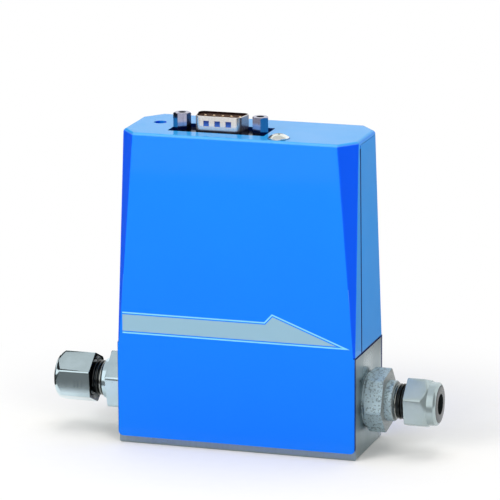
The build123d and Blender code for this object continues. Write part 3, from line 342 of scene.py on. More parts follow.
class Effects:
    """The shader node groups that several materials share."""

    def __init__(self) -> None:
        """Makes every shared effect once."""
        self.peel = self.make_peel()
        self.brushed = self.make_brushed()
        self.turned = self.make_turned()
        self.blasted = self.make_blasted()
        self.arrow = self.make_arrow()
        self.facets = self.make_facets()
        self.dimples = self.make_dimples()
        self.neck = self.make_neck()
        self.traces = self.make_traces()
        LOG.info("shared effects made")

    @staticmethod
    def bump(t: Tree, depth: Any, distance: float, height: Any) -> Socket:
        """Turns a height into a normal.

        Args:
            t: the group's tree.
            depth: the bump's strength.
            distance: height of the relief, in metres.
            height: socket of the height.

        Returns:
            The normal's socket.
        """
        relief = {"Strength": depth, "Distance": distance, "Height": height}
        return t.add("ShaderNodeBump", relief).outputs[0]

    @staticmethod
    def make_peel() -> bpy.types.NodeTree:
        """Fine orange peel and cloudiness of sprayed paint or moulded plastic.

        Returns:
            The node group.
        """
        ports = [
            Port("Scale", value=2600.0),
            Port("Cloud Scale", value=38.0),
            Port("Depth", value=0.06),
            Port("Seed", value=0.0),
        ]
        t, i, leave = new_group("OrangePeel", ports, [Port("Tone"), Port("Normal", "NodeSocketVector")])
        place = t.add("ShaderNodeTexCoord").outputs["Object"]
        moved = t.vector("ADD", place, i["Seed"])
        fine = t.add("ShaderNodeTexNoise", {"Vector": moved, "Scale": i["Scale"], "Detail": 2.0})
        broad = t.add("ShaderNodeTexNoise", {"Vector": moved, "Scale": i["Cloud Scale"], "Detail": 3.0})
        normal = Effects.bump(t, i["Depth"], distance=0.00005, height=fine.outputs[0])
        t.fill(leave, {"Tone": broad.outputs[0], "Normal": normal})
        return t.tree

    @staticmethod
    def make_brushed() -> bpy.types.NodeTree:
        """Straight brushed grain; the stretch vector is small along the grain.

        Returns:
            The node group.
        """
        ports = [
            Port("Stretch", "NodeSocketVector", (9000.0, 120.0, 9000.0)),
            Port("Band Stretch", "NodeSocketVector", (0.13, 0.25, 0.13)),
            Port("Fine Share", value=0.55),
            Port("Band Share", value=0.45),
            Port("Cloud Scale", value=55.0),
            Port("Depth", value=0.10),
        ]
        outs = [Port("Tone"), Port("Streak"), Port("Normal", "NodeSocketVector")]
        t, i, leave = new_group("BrushedGrain", ports, outs)
        place = t.add("ShaderNodeTexCoord").outputs["Object"]
        drawn = t.vector("MULTIPLY", place, i["Stretch"])
        grain = {"Vector": drawn, "Scale": 1.0, "Detail": 3.0, "Roughness": 0.6}
        fine = t.add("ShaderNodeTexNoise", grain).outputs[0]
        wide = t.vector("MULTIPLY", drawn, i["Band Stretch"])
        band = t.add("ShaderNodeTexNoise", {"Vector": wide, "Scale": 1.0, "Detail": 2.0}).outputs[0]
        cloud = t.add("ShaderNodeTexNoise", {"Vector": place, "Scale": i["Cloud Scale"], "Detail": 3.0})
        streak = t.math("ADD", t.times(fine, i["Fine Share"]), t.times(band, i["Band Share"]))
        normal = Effects.bump(t, i["Depth"], distance=0.00004, height=fine)
        t.fill(leave, {"Tone": cloud.outputs[0], "Streak": streak, "Normal": normal})
        return t.tree

    @staticmethod
    def make_turned() -> bpy.types.NodeTree:
        """Lathe rings about the flow axis, on round faces and on end faces.

        Returns:
            The node group.
        """
        ports = [
            Port("Axis Height", value=0.016),
            Port("Ring Scale", value=5200.0),
            Port("Cloud Scale", value=140.0),
            Port("Depth", value=0.08),
        ]
        outs = [Port("Tone"), Port("Streak"), Port("Normal", "NodeSocketVector")]
        t, i, leave = new_group("LatheRings", ports, outs)
        place = t.add("ShaderNodeTexCoord").outputs["Object"]
        x, y, z = t.split(place)
        radius = t.reach(y, t.minus(z, i["Axis Height"]))
        stations = {0: t.times(x, i["Ring Scale"]), 1: t.times(radius, i["Ring Scale"])}
        rings = t.add("ShaderNodeCombineXYZ", stations).outputs[0]
        fine = t.add("ShaderNodeTexNoise", {"Vector": rings, "Scale": 1.0, "Detail": 2.0}).outputs[0]
        cloud = t.add("ShaderNodeTexNoise", {"Vector": place, "Scale": i["Cloud Scale"], "Detail": 4.0})
        normal = Effects.bump(t, i["Depth"], distance=0.00003, height=fine)
        t.fill(leave, {"Tone": cloud.outputs[0], "Streak": fine, "Normal": normal})
        return t.tree

    @staticmethod
    def make_blasted() -> bpy.types.NodeTree:
        """Coarse sparkle of a bead-blasted or as-forged skin.

        Returns:
            The node group.
        """
        ports = [Port("Scale", value=2300.0), Port("Cloud Scale", value=900.0), Port("Depth", value=0.5)]
        outs = [Port("Tone"), Port("Sparkle"), Port("Normal", "NodeSocketVector")]
        t, i, leave = new_group("BlastedSkin", ports, outs)
        place = t.add("ShaderNodeTexCoord").outputs["Object"]
        pits = t.add("ShaderNodeTexVoronoi", {"Vector": place, "Scale": i["Scale"]}, feature="F1")
        cloud = {"Vector": place, "Scale": i["Cloud Scale"], "Detail": 5.0, "Roughness": 0.7}
        soft = t.add("ShaderNodeTexNoise", cloud).outputs[0]
        height = t.math("ADD", pits.outputs["Distance"], soft)
        sparkle = t.step(t.split(pits.outputs["Color"])[0], 0.55, 0.95)
        normal = Effects.bump(t, i["Depth"], distance=0.00012, height=height)
        t.fill(leave, {"Tone": soft, "Sparkle": sparkle, "Normal": normal})
        return t.tree

    @staticmethod
    def make_arrow() -> bpy.types.NodeTree:
        """Masks of the flow arrow printed on the front: an open outline and the band inside it.

        Returns:
            The node group.
        """
        ports = [
            Port("Left", value=-0.0363),
            Port("Base", value=0.03530),
            Port("Shaft Top", value=0.04205),
            Port("Barb X", value=0.01179),
            Port("Barb Run", value=0.00246),
            Port("Barb Slant", value=0.68),
            Port("Barb Top", value=0.04470),
            Port("Tip X", value=0.0364),
            Port("Line Width", value=0.00042),
            Port("Band Inset", value=0.00078),
            Port("Front Y", value=-0.0150),
        ]
        t, i, leave = new_group("FlowArrowPrint", ports, [Port("Line"), Port("Band")])
        x, y, z = t.split(t.add("ShaderNodeTexCoord").outputs["Object"])
        softness = 0.00006

        def inside(distance: Any) -> Socket:
            """Gives 1 where the distance inwards is above nothing, with a soft edge."""
            return t.step(distance, -softness, softness)

        run = t.minus(i["Tip X"], i["Barb X"])
        drop = t.minus(i["Barb Top"], i["Base"])
        above_base = t.minus(z, i["Base"])
        below_shaft = t.minus(i["Shaft Top"], z)
        across = t.minus(t.times(t.minus(i["Tip X"], x), drop), t.times(above_base, run))
        slope = t.math("DIVIDE", across, t.reach(run, drop))
        rise = t.math("DIVIDE", t.minus(i["Barb Top"], i["Shaft Top"]), i["Barb Run"])
        barb_start = t.minus(i["Barb X"], i["Barb Run"])
        barb = t.math("MULTIPLY_ADD", t.minus(x, barb_start), rise, below_shaft)
        top = t.most(below_shaft, t.times(barb, i["Barb Slant"]))
        body = t.least(above_base, top, slope)
        after = inside(t.minus(x, i["Left"]))
        front = t.below(y, i["Front Y"])
        outer = t.least(inside(body), after)
        core = inside(t.minus(body, i["Line Width"]))
        band = inside(t.minus(body, i["Band Inset"]))
        line = t.math("SUBTRACT", outer, core, clamp=True)
        t.fill(leave, {"Line": t.times(line, front), "Band": t.times(t.least(band, after), front)})
        return t.tree

    @staticmethod
    def make_facets() -> bpy.types.NodeTree:
        """Masks of the covers' painted light and shade: shade on the facets, low down, on the cut edges
        and in the gaps; light on the top and sides and a highlight on the folds.

        Returns:
            The node group.
        """
        centre, head = screw_ring()
        ports = [
            Port("Paint Top", value=0.100),
            Port("Edge X", value=0.0379),
            Port("Edge Top", value=0.0325),
            Port("Foot Top", value=0.0329),
            Port("Seam Y", value=-0.0081),
            Port("Seam Width", value=0.00066),
            Port("Rim Start", value=0.00075),
            Port("Rim End", value=0.00040),
            Port("Rim Share", value=0.8),
            Port("Skin X", value=0.0375),
            Port("Opening X", value=-0.00795),
            Port("Opening Y", value=-0.0029),
            Port("Opening Half Length", value=0.0156),
            Port("Opening Half Depth", value=0.0063),
            Port("Lip Low", value=0.0960),
            Port("Lip High", value=0.09834),
            Port("Screw Centre", "NodeSocketVector", centre),
            Port("Ring Outer", value=head + 0.00035),
            Port("Ring Inner", value=head + 0.0001),
        ]
        seam_slack, on_wall, level = 0.00005, 0.5, 0.9
        facet, upward, sideways, fold = (0.25, 0.58), (0.4, 0.95), (0.86, 0.97), (0.30, 0.62)
        names = ("Facet", "Upward", "Sideways", "Low", "Fold", "Cut Edge", "Shaded")
        t, i, leave = new_group("FacetMask", ports, [Port(name) for name in names])
        coords = t.add("ShaderNodeTexCoord")
        normal_x, normal_y, normal_z = t.split(coords.outputs["Normal"])
        lean_x, lean_y = t.absolute(normal_x), t.absolute(normal_y)
        x, y, z = t.split(coords.outputs["Object"])
        reach_x = t.absolute(x)
        gap = t.minus(y, i["Seam Y"])
        # The seam, the band beside it, the walls' foot, the ring round the screw head and the opening's
        # lip get painted shade.
        in_gap = t.times(t.above(gap, -seam_slack), t.below(gap, i["Seam Width"]))
        wall = t.times(t.above(reach_x, i["Skin X"]), t.above(lean_x, on_wall))
        below_lip = t.below(z, i["Lip Low"])
        seam = t.times(in_gap, t.minus(1.0, wall), below_lip)
        from_middle = t.absolute(t.minus(gap, t.times(i["Seam Width"], 0.5)))
        beside = t.step(from_middle, i["Rim Start"], i["Rim End"])
        rim = t.times(beside, wall, below_lip, i["Rim Share"])
        foot = t.times(t.step(z, i["Foot Top"], i["Edge Top"]), wall)
        from_screw = t.vector("SUBTRACT", coords.outputs["Object"], i["Screw Centre"])
        from_screw = t.vector("MULTIPLY", from_screw, (1.0, 1.0, 0.0))
        distance = t.vector("LENGTH", from_screw, output="Value")
        ring = t.times(t.step(distance, i["Ring Outer"], i["Ring Inner"]), t.above(normal_z, level))
        in_length = t.below(t.absolute(t.minus(x, i["Opening X"])), i["Opening Half Length"])
        in_depth = t.below(t.absolute(t.minus(y, i["Opening Y"])), i["Opening Half Depth"])
        lip = t.times(in_length, in_depth, t.above(z, i["Lip Low"]), t.below(z, i["Lip High"]))
        t.fill(leave, {
            "Facet": t.step(t.least(lean_x, lean_y), *facet),
            "Upward": t.step(normal_z, *upward),
            "Sideways": t.step(lean_x, *sideways),
            "Low": t.step(z, i["Paint Top"], 0.0),
            "Fold": t.step(t.least(lean_y, normal_z), *fold),
            "Cut Edge": t.times(t.above(reach_x, i["Edge X"]), t.below(z, i["Edge Top"])),
            "Shaded": t.most(seam, rim, foot, ring, lip),
        })
        return t.tree

    @staticmethod
    def make_dimples() -> bpy.types.NodeTree:
        """Masks of the connector shell's painted light and shade: reflection in its three dimples, shade
        and light on its inner wall, dark reflection on its ends and shadow at its foot.

        Returns:
            The node group.
        """
        ports = [
            Port("Middle X", value=-0.00795),
            Port("Pitch", value=0.00354),
            Port("Half Width", value=0.0009),
            Port("Middle Z", value=0.1008),
            Port("Half Height", value=0.0009),
            Port("Front Y", value=-0.0063),
            Port("Shade Low", value=0.0995),
            Port("Shade High", value=0.1018),
            Port("Throat High", value=0.1026),
            Port("Throat Low", value=0.1017),
            Port("Foot High", value=0.0992),
            Port("Foot Low", value=0.0984),
            Port("Centre", "NodeSocketVector", (-0.008, -0.0029, 0.0)),
            Port("Inward", value=-0.0008),
        ]
        names = ("Mask", "Shade", "Inside", "Depth", "Ends", "Foot")
        t, i, leave = new_group("DimpleMask", ports, [Port(name) for name in names])
        coords = t.add("ShaderNodeTexCoord")
        x, y, z = t.split(coords.outputs["Object"])
        away = t.minus(x, i["Middle X"])
        nearest = t.times(t.math("ROUND", t.math("DIVIDE", away, i["Pitch"])), i["Pitch"])
        nearest = t.most(t.least(nearest, i["Pitch"]), t.times(i["Pitch"], -1.0))
        wide = t.minus(i["Half Width"], t.absolute(t.minus(away, nearest)))
        high = t.minus(i["Half Height"], t.absolute(t.minus(z, i["Middle Z"])))
        edge, at_end = (-0.00004, 0.00012), (0.55, 0.95)
        mask = t.step(t.least(wide, high), *edge)
        outward = t.vector("SUBTRACT", coords.outputs["Object"], i["Centre"])
        outward = t.vector("MULTIPLY", outward, (1.0, 1.0, 0.0))
        facing = t.vector("DOT_PRODUCT", outward, coords.outputs["Normal"], output="Value")
        t.fill(leave, {
            "Mask": t.times(mask, t.below(y, i["Front Y"])),
            "Shade": t.step(z, i["Shade Low"], i["Shade High"]),
            "Inside": t.below(facing, i["Inward"]),
            "Depth": t.step(z, i["Throat High"], i["Throat Low"]),
            "Ends": t.step(t.absolute(t.split(coords.outputs["Normal"])[0]), *at_end),
            "Foot": t.step(z, i["Foot High"], i["Foot Low"]),
        })
        return t.tree

    @staticmethod
    def make_neck() -> bpy.types.NodeTree:
        """Masks of the painted shade on a fitting's neck behind the nut and on the nut's back, and of the
        body's end face.

        Returns:
            The node group.
        """
        ports = [
            Port("Neck Start", value=0.0472),
            Port("Neck Dark", value=0.0489),
            Port("Neck Radius", value=0.0058),
            Port("Root Radius", value=0.0051),
            Port("Nut Start", value=0.0500),
            Port("Back Facing", value=-0.6),
            Port("Axis Height", value=0.016),
        ]
        t, i, leave = new_group("FittingShade", ports, [Port("Dark"), Port("End")])
        coords = t.add("ShaderNodeTexCoord")
        x, y, z = t.split(coords.outputs["Object"])
        radius = t.reach(y, t.minus(z, i["Axis Height"]))
        station = t.absolute(x)
        outward = t.times(t.math("SIGN", x), t.split(coords.outputs["Normal"])[0])
        in_neck = t.step(station, i["Neck Start"], i["Neck Dark"])
        crest = t.times(t.below(radius, i["Neck Radius"]), in_neck)
        root = t.times(t.below(radius, i["Root Radius"]), t.above(station, i["Neck Start"]))
        back = t.times(t.below(outward, i["Back Facing"]), t.above(station, i["Nut Start"]))
        facing_out = t.step(outward, 0.5, 0.9)
        end = t.times(facing_out, t.below(station, i["Neck Start"]))
        t.fill(leave, {"Dark": t.most(crest, root, back), "End": end})
        return t.tree

    @staticmethod
    def make_traces() -> bpy.types.NodeTree:
        """Masks of copper tracks and of the weave on a circuit board.

        Returns:
            The node group.
        """
        ports = [Port("Scale", value=330.0), Port("Weave Scale", value=900.0)]
        t, i, leave = new_group("BoardTracks", ports, [Port("Track"), Port("Weave")])
        place = t.add("ShaderNodeTexCoord").outputs["Object"]
        tracks = {"Vector": place, "Scale": i["Scale"], "Mortar Size": 0.03}
        cells = t.add("ShaderNodeTexBrick", tracks, offset=0.37, squash=1.7)
        threads = {"Vector": place, "Scale": i["Weave Scale"], "Distortion": 0.4}
        weave = t.add("ShaderNodeTexWave", threads)
        t.fill(leave, {"Track": cells.outputs["Fac"], "Weave": weave.outputs["Fac"]})
        return t.tree


# ------------------------------------------------------------------ finishes
class Skin(Enum):
    """What a surface's procedural detail looks like."""

    PAINTED = "painted"
    BRUSHED = "brushed"
    TURNED = "turned"
    BLASTED = "blasted"
    MOULDED = "moulded"
    BOARD = "board"
    SHELL = "shell"


@dataclass(frozen=True)
class Finish:
    """One material's plain values.

    Attributes:
        name: material name.
        colour: linear base colour.
        second: colour it drifts towards.
        skin: kind of surface detail.
        metallic: 1 for bare metal.
        roughness: middle roughness.
        spread: how far the detail moves roughness.
        drift: how far the detail moves colour.
        depth: bump strength.
        level: specular level of a non-metal.
        coat: clear coat weight on upward faces.
        side_coat: clear coat weight on upright faces.
        stretch: scale of brushed grain along each axis.
        axis_height: height of the lathe axis.
        print_arrow: whether the flow arrow is on it.
        necked: whether it is on a tube fitting, with painted shade on its neck behind the nut and on the
            nut's back.
        shelter: height above which navy painted shade covers the surface, for the dark under the covers.
    """

    name: str
    colour: Colour
    second: Colour
    skin: Skin
    metallic: float = 0.0
    roughness: float = 0.4
    spread: float = 0.1
    drift: float = 0.35
    depth: float = 0.08
    level: float = 0.5
    coat: float = 0.0
    side_coat: float = 0.0
    stretch: tuple[float, float, float] = (9000.0, 120.0, 9000.0)
    axis_height: float = 0.016
    print_arrow: bool = False
    necked: bool = False
    shelter: float = math.inf


PAINT_BLUE = srgb(22, 138, 255)
PAINT_DEEP = srgb(18, 130, 253)
# Painted shade: a deeper blue laid on the covers' corner facets.
FACET_PAINTED_SHADE = srgb(3, 93, 255)
# Painted light: a paler blue laid on the covers' upward faces.
TOP_PAINTED_LIGHT = srgb(44, 172, 244)
# Painted light: a paler blue laid on the covers' upright sides.
SIDE_PAINTED_LIGHT = srgb(38, 160, 248)
# Painted shade: the covers turn a deeper blue towards the bottom.
LOW_PAINTED_SHADE = srgb(14, 112, 248)
# Painted shade: navy laid on the panels' edge faces below the block's top.
EDGE_PAINTED_SHADE = srgb(6, 36, 104)
# Painted shade: navy in the seam and beside it, along the walls' foot, round the screw head, on the
# opening's inner walls and on the block under the covers.
NAVY_PAINTED_SHADE = srgb(5, 26, 96)
ARROW_GREY = srgb(152, 190, 208)
ARROW_LINE = srgb(140, 222, 242)
# Painted highlight: a pale blue laid along the folds into the top.
FOLD_PAINTED_HIGHLIGHT = srgb(140, 216, 255)
# Painted shade: near black on the neck behind the nut and on the nut's back.
NECK_PAINTED_SHADE = srgb(14, 17, 19)
END_GREY = srgb(150, 148, 142)
# Painted reflection: the cover's blue laid in the shell's dimples, paler low down, deeper higher up.
DIMPLE_PAINTED_REFLECTION_LOW = srgb(70, 120, 205)
DIMPLE_PAINTED_REFLECTION_HIGH = srgb(34, 62, 140)
# Painted shade and light on the shell's inner wall: dark brown near its rim, pale further down.
THROAT_PAINTED_SHADE = srgb(58, 38, 38)
THROAT_PAINTED_LIGHT = srgb(214, 192, 180)
DETAIL_LOW, DETAIL_HIGH = 0.3, 0.7
SMOOTHEST = 0.03
COAT_ROUGHNESS = 0.06


@dataclass(frozen=True)
class Mark:
    """A colour that one mask of a shared effect lays over a finish.

    Attributes:
        mask: name of the effect's output.
        colour: linear colour.
        share: how much of it shows where the mask is full.
    """

    mask: str
    colour: Colour
    share: float = 1.0


COVER_LIGHT_AND_SHADE_MARKS = (
    Mark("Low", LOW_PAINTED_SHADE, 0.5),
    Mark("Facet", FACET_PAINTED_SHADE),
    Mark("Sideways", SIDE_PAINTED_LIGHT, 0.9),
    Mark("Upward", TOP_PAINTED_LIGHT, 0.85),
    Mark("Fold", FOLD_PAINTED_HIGHLIGHT, 0.35),
    Mark("Cut Edge", EDGE_PAINTED_SHADE, 0.9),
    Mark("Shaded", NAVY_PAINTED_SHADE, 0.95),
)
ARROW_MARKS = (Mark("Band", ARROW_GREY), Mark("Line", ARROW_LINE))
# Neck marks: a warm grey on the bodies' outward end faces, then painted shade behind the nut.
NECK_MARKS = (Mark("End", END_GREY, 0.7), Mark("Dark", NECK_PAINTED_SHADE, 0.92))
BOARD_MARKS = (Mark("Track", srgb(60, 138, 84), 0.5), Mark("Weave", srgb(8, 46, 30), 0.15))
# Painted dark reflection on the shell's end faces and painted shadow along its foot.
SHELL_SHADE_AND_REFLECTION_MARKS = (Mark("Ends", srgb(70, 74, 104), 0.6), Mark("Foot", srgb(16, 30, 60), 0.9))

FINISHES: dict[str, Finish] = {
    f.name: f
    for f in (
        Finish("front_paint", PAINT_BLUE, PAINT_DEEP, Skin.PAINTED, roughness=0.42, spread=0.06,
               drift=0.18, depth=0.05, level=0.08, coat=0.54, side_coat=0.29, print_arrow=True),
        Finish("rear_paint", PAINT_BLUE, PAINT_DEEP, Skin.PAINTED, roughness=0.42, spread=0.06,
               drift=0.18, depth=0.05, level=0.08, coat=0.54, side_coat=0.29),
        Finish("block_steel", srgb(166, 180, 184), srgb(148, 160, 163), Skin.BRUSHED, metallic=1.0,
               roughness=0.36, spread=0.14, drift=0.45, depth=0.16, level=0.0,
               stretch=(9000.0, 9000.0, 110.0), shelter=0.03196),
        Finish("fitting_steel", srgb(222, 246, 255), srgb(196, 218, 228), Skin.TURNED, metallic=1.0,
               roughness=0.18, spread=0.06, drift=0.5, depth=0.08, necked=True),
        Finish("outlet_steel", srgb(178, 200, 208), srgb(122, 138, 142), Skin.BLASTED, metallic=0.4,
               roughness=0.40, spread=0.16, drift=0.8, depth=0.35, necked=True),
        Finish("nut_steel", srgb(222, 243, 250), srgb(192, 212, 216), Skin.TURNED, metallic=1.0,
               roughness=0.14, spread=0.05, drift=0.5, depth=0.06, necked=True),
        Finish("outlet_nut_steel", srgb(190, 206, 208), srgb(160, 176, 178), Skin.TURNED, metallic=0.6,
               roughness=0.2, spread=0.05, drift=0.5, depth=0.06, necked=True),
        Finish("thread_steel", srgb(196, 200, 196), srgb(120, 124, 122), Skin.TURNED, metallic=1.0,
               roughness=0.2, spread=0.1, drift=0.5, depth=0.05, necked=True),
        Finish("ferrule_steel", srgb(190, 198, 200), srgb(160, 168, 170), Skin.TURNED, metallic=1.0,
               roughness=0.26),
        Finish("screw_steel", srgb(250, 255, 250), srgb(224, 230, 226), Skin.MOULDED, metallic=1.0,
               roughness=0.22, spread=0.1, drift=0.4, depth=0.10),
        Finish("tin_shell", srgb(242, 238, 234), srgb(206, 202, 198), Skin.SHELL, metallic=0.80,
               roughness=0.17, spread=0.06, drift=0.45, depth=0.10),
        Finish("tin_flange", srgb(214, 218, 220), srgb(186, 190, 192), Skin.MOULDED, metallic=1.0,
               roughness=0.18, spread=0.08, drift=0.45, depth=0.10),
        Finish("jack_steel", srgb(182, 182, 204), srgb(104, 106, 136), Skin.BRUSHED, metallic=1.0,
               roughness=0.13, spread=0.06, drift=0.4, depth=0.06, stretch=(9000.0, 9000.0, 400.0)),
        Finish("zinc_plate", srgb(196, 200, 204), srgb(168, 174, 180), Skin.MOULDED, metallic=1.0,
               roughness=0.34, spread=0.14, drift=0.6, depth=0.10),
        Finish("seal_rubber", srgb(26, 27, 28), srgb(40, 41, 42), Skin.MOULDED, roughness=0.6,
               level=0.4),
        Finish("insulator_plastic", srgb(96, 68, 60), srgb(120, 88, 78), Skin.MOULDED, roughness=0.45),
        Finish("pin_gold", srgb(255, 226, 190), srgb(236, 196, 148), Skin.MOULDED, metallic=1.0,
               roughness=0.18),
        Finish("winding_copper", srgb(196, 110, 66), srgb(150, 78, 44), Skin.MOULDED, metallic=1.0,
               roughness=0.3),
        Finish("sensor_can", srgb(188, 190, 190), srgb(160, 163, 164), Skin.MOULDED, metallic=1.0,
               roughness=0.38),
        Finish("board_laminate", srgb(22, 96, 58), srgb(12, 66, 42), Skin.BOARD, roughness=0.4),
        Finish("chip_epoxy", srgb(30, 30, 32), srgb(44, 44, 46), Skin.MOULDED, roughness=0.5),
        Finish("capacitor_can", srgb(176, 180, 186), srgb(150, 154, 160), Skin.MOULDED, metallic=1.0,
               roughness=0.3),
        Finish("trimmer_plastic", srgb(36, 92, 168), srgb(26, 70, 136), Skin.MOULDED, roughness=0.45),
        Finish("rotor_plastic", srgb(236, 232, 220), srgb(212, 206, 190), Skin.MOULDED, roughness=0.4),
        Finish("leg_tin", srgb(206, 208, 208), srgb(180, 182, 184), Skin.MOULDED, metallic=1.0,
               roughness=0.26),
    )
}


class MaterialShop:
    """Builds each finish's material once."""

    def __init__(self, effects: Effects) -> None:
        """Opens the shop with no material made yet."""
        self.effects = effects
        self.made: dict[str, bpy.types.Material] = {}

    @staticmethod
    def use(
        t: Tree, group: bpy.types.NodeTree, inputs: Mapping[str, Any] | None = None
    ) -> bpy.types.Node:
        """Adds a shared effect to a material.

        Args:
            t: the material's tree.
            group: the effect.
            inputs: its inputs by name.

        Returns:
            The group node.
        """
        node = t.tree.nodes.new("ShaderNodeGroup")
        node.node_tree = group
        for key, value in (inputs or {}).items():
            t.put(node.inputs[key], value)
        return node

    def detail(self, t: Tree, finish: Finish) -> tuple[Any, Any, Any]:
        """Adds a finish's surface detail.

        Args:
            t: the material's tree.
            finish: the finish.

        Returns:
            Sockets that give the colour drift, the roughness drift and the normal.
        """
        effects = self.effects
        if finish.skin is Skin.BRUSHED:
            node = self.use(t, effects.brushed, {"Stretch": finish.stretch, "Depth": finish.depth})
            return node.outputs["Streak"], node.outputs["Tone"], node.outputs["Normal"]
        if finish.skin is Skin.TURNED:
            node = self.use(t, effects.turned, {"Axis Height": finish.axis_height, "Depth": finish.depth})
            return node.outputs["Tone"], node.outputs["Streak"], node.outputs["Normal"]
        if finish.skin is Skin.BLASTED:
            node = self.use(t, effects.blasted, {"Depth": finish.depth})
            return node.outputs["Sparkle"], node.outputs["Tone"], node.outputs["Normal"]
        node = self.use(t, effects.peel, {"Depth": finish.depth})
        return node.outputs["Tone"], node.outputs["Tone"], node.outputs["Normal"]

    def lay(self, t: Tree, base: Any, effect: bpy.types.NodeTree, marks: Sequence[Mark]) -> Socket:
        """Lays an effect's marks over a colour, one after another.

        Args:
            t: the material's tree.
            base: the colour below.
            effect: the effect that gives the masks.
            marks: what to lay, from the lowest to the highest.

        Returns:
            The colour's socket.
        """
        masks = self.use(t, effect).outputs
        for mark in marks:
            base = t.mix(t.times(masks[mark.mask], mark.share), base, rgba(mark.colour))
        return base

    def colour(self, t: Tree, finish: Finish, drift: Any) -> Socket:
        """Gives a finish's colour with its markings and the light and shade painted on it.

        Args:
            t: the material's tree.
            finish: the finish.
            drift: socket that moves colour from the first to the second.

        Returns:
            The colour's socket.
        """
        share = t.times(t.step(drift, DETAIL_LOW, DETAIL_HIGH), finish.drift)
        base = t.mix(share, rgba(finish.colour), rgba(finish.second))
        # Painted light and shade on the covers: facets and the low part deeper, top, sides and folds
        # paler, edges and gaps navy.
        if finish.skin is Skin.PAINTED:
            base = self.lay(t, base, self.effects.facets, COVER_LIGHT_AND_SHADE_MARKS)
        if finish.print_arrow:
            base = self.lay(t, base, self.effects.arrow, ARROW_MARKS)
        # Painted shade on the fitting's neck behind the nut and on the nut's back.
        if finish.necked:
            base = self.lay(t, base, self.effects.neck, NECK_MARKS)
        # Painted shade: navy where the block lies under the covers.
        if finish.shelter < math.inf:
            height = t.split(t.add("ShaderNodeTexCoord").outputs["Object"])[2]
            base = t.mix(t.above(height, finish.shelter), base, rgba(NAVY_PAINTED_SHADE))
        if finish.skin is Skin.BOARD:
            base = self.lay(t, base, self.effects.traces, BOARD_MARKS)
        # Painted reflection in the dimples and on the ends, painted shadow at the foot, painted shade and
        # light on the inner wall.
        if finish.skin is Skin.SHELL:
            masks = self.use(t, self.effects.dimples).outputs
            pressed = t.mix(masks["Shade"], rgba(DIMPLE_PAINTED_REFLECTION_LOW), rgba(DIMPLE_PAINTED_REFLECTION_HIGH))
            base = t.mix(masks["Mask"], base, pressed)
            base = self.lay(t, base, self.effects.dimples, SHELL_SHADE_AND_REFLECTION_MARKS)
            inner = t.mix(masks["Depth"], rgba(THROAT_PAINTED_SHADE), rgba(THROAT_PAINTED_LIGHT))
            base = t.mix(masks["Inside"], base, inner)
        return base

    def coat(self, t: Tree, finish: Finish) -> Any:
        """Gives the clear coat's weight, thickest on upward faces and none in the gaps.

        Args:
            t: the material's tree.
            finish: the finish.

        Returns:
            A socket, or a plain number where the whole surface has one weight.
        """
        if finish.skin is not Skin.PAINTED:
            return finish.coat
        masks = self.use(t, self.effects.facets).outputs
        extra = t.times(masks["Upward"], finish.coat - finish.side_coat)
        weight = t.math("ADD", extra, finish.side_coat)
        bare = t.most(masks["Cut Edge"], masks["Shaded"])
        return t.times(weight, t.minus(1.0, bare))

    def metal(self, t: Tree, finish: Finish) -> Any:
        """Gives how metallic the surface is, which the dark under the covers takes away.

        Args:
            t: the material's tree.
            finish: the finish.

        Returns:
            A socket, or a plain number.
        """
        if math.isinf(finish.shelter):
            return finish.metallic
        height = t.split(t.add("ShaderNodeTexCoord").outputs["Object"])[2]
        return t.times(t.below(height, finish.shelter), finish.metallic)

    def get(self, name: str) -> bpy.types.Material:
        """Gives the material of a finish.

        Args:
            name: the finish's name.

        Returns:
            The material.
        """
        if name in self.made:
            return self.made[name]
        finish = FINISHES[name]
        material = bpy.data.materials.new(name)
        t = cleared(material)
        drift, rough, normal = self.detail(t, finish)
        smooth = max(finish.roughness - finish.spread, SMOOTHEST)
        matt = finish.roughness + finish.spread
        shader = t.add(
            "ShaderNodeBsdfPrincipled",
            {
                "Base Color": self.colour(t, finish, drift),
                "Metallic": self.metal(t, finish),
                "Roughness": t.step(rough, DETAIL_LOW, DETAIL_HIGH, (smooth, matt)),
                "Normal": normal,
                "Specular IOR Level": finish.level,
                "Coat Weight": self.coat(t, finish),
                "Coat Roughness": COAT_ROUGHNESS,
            },
        )
        t.add("ShaderNodeOutputMaterial", {"Surface": shader.outputs[0]})
        material.diffuse_color = rgba(finish.colour)
        material.metallic = finish.metallic
        material.roughness = finish.roughness
        self.made[name] = material
        return material


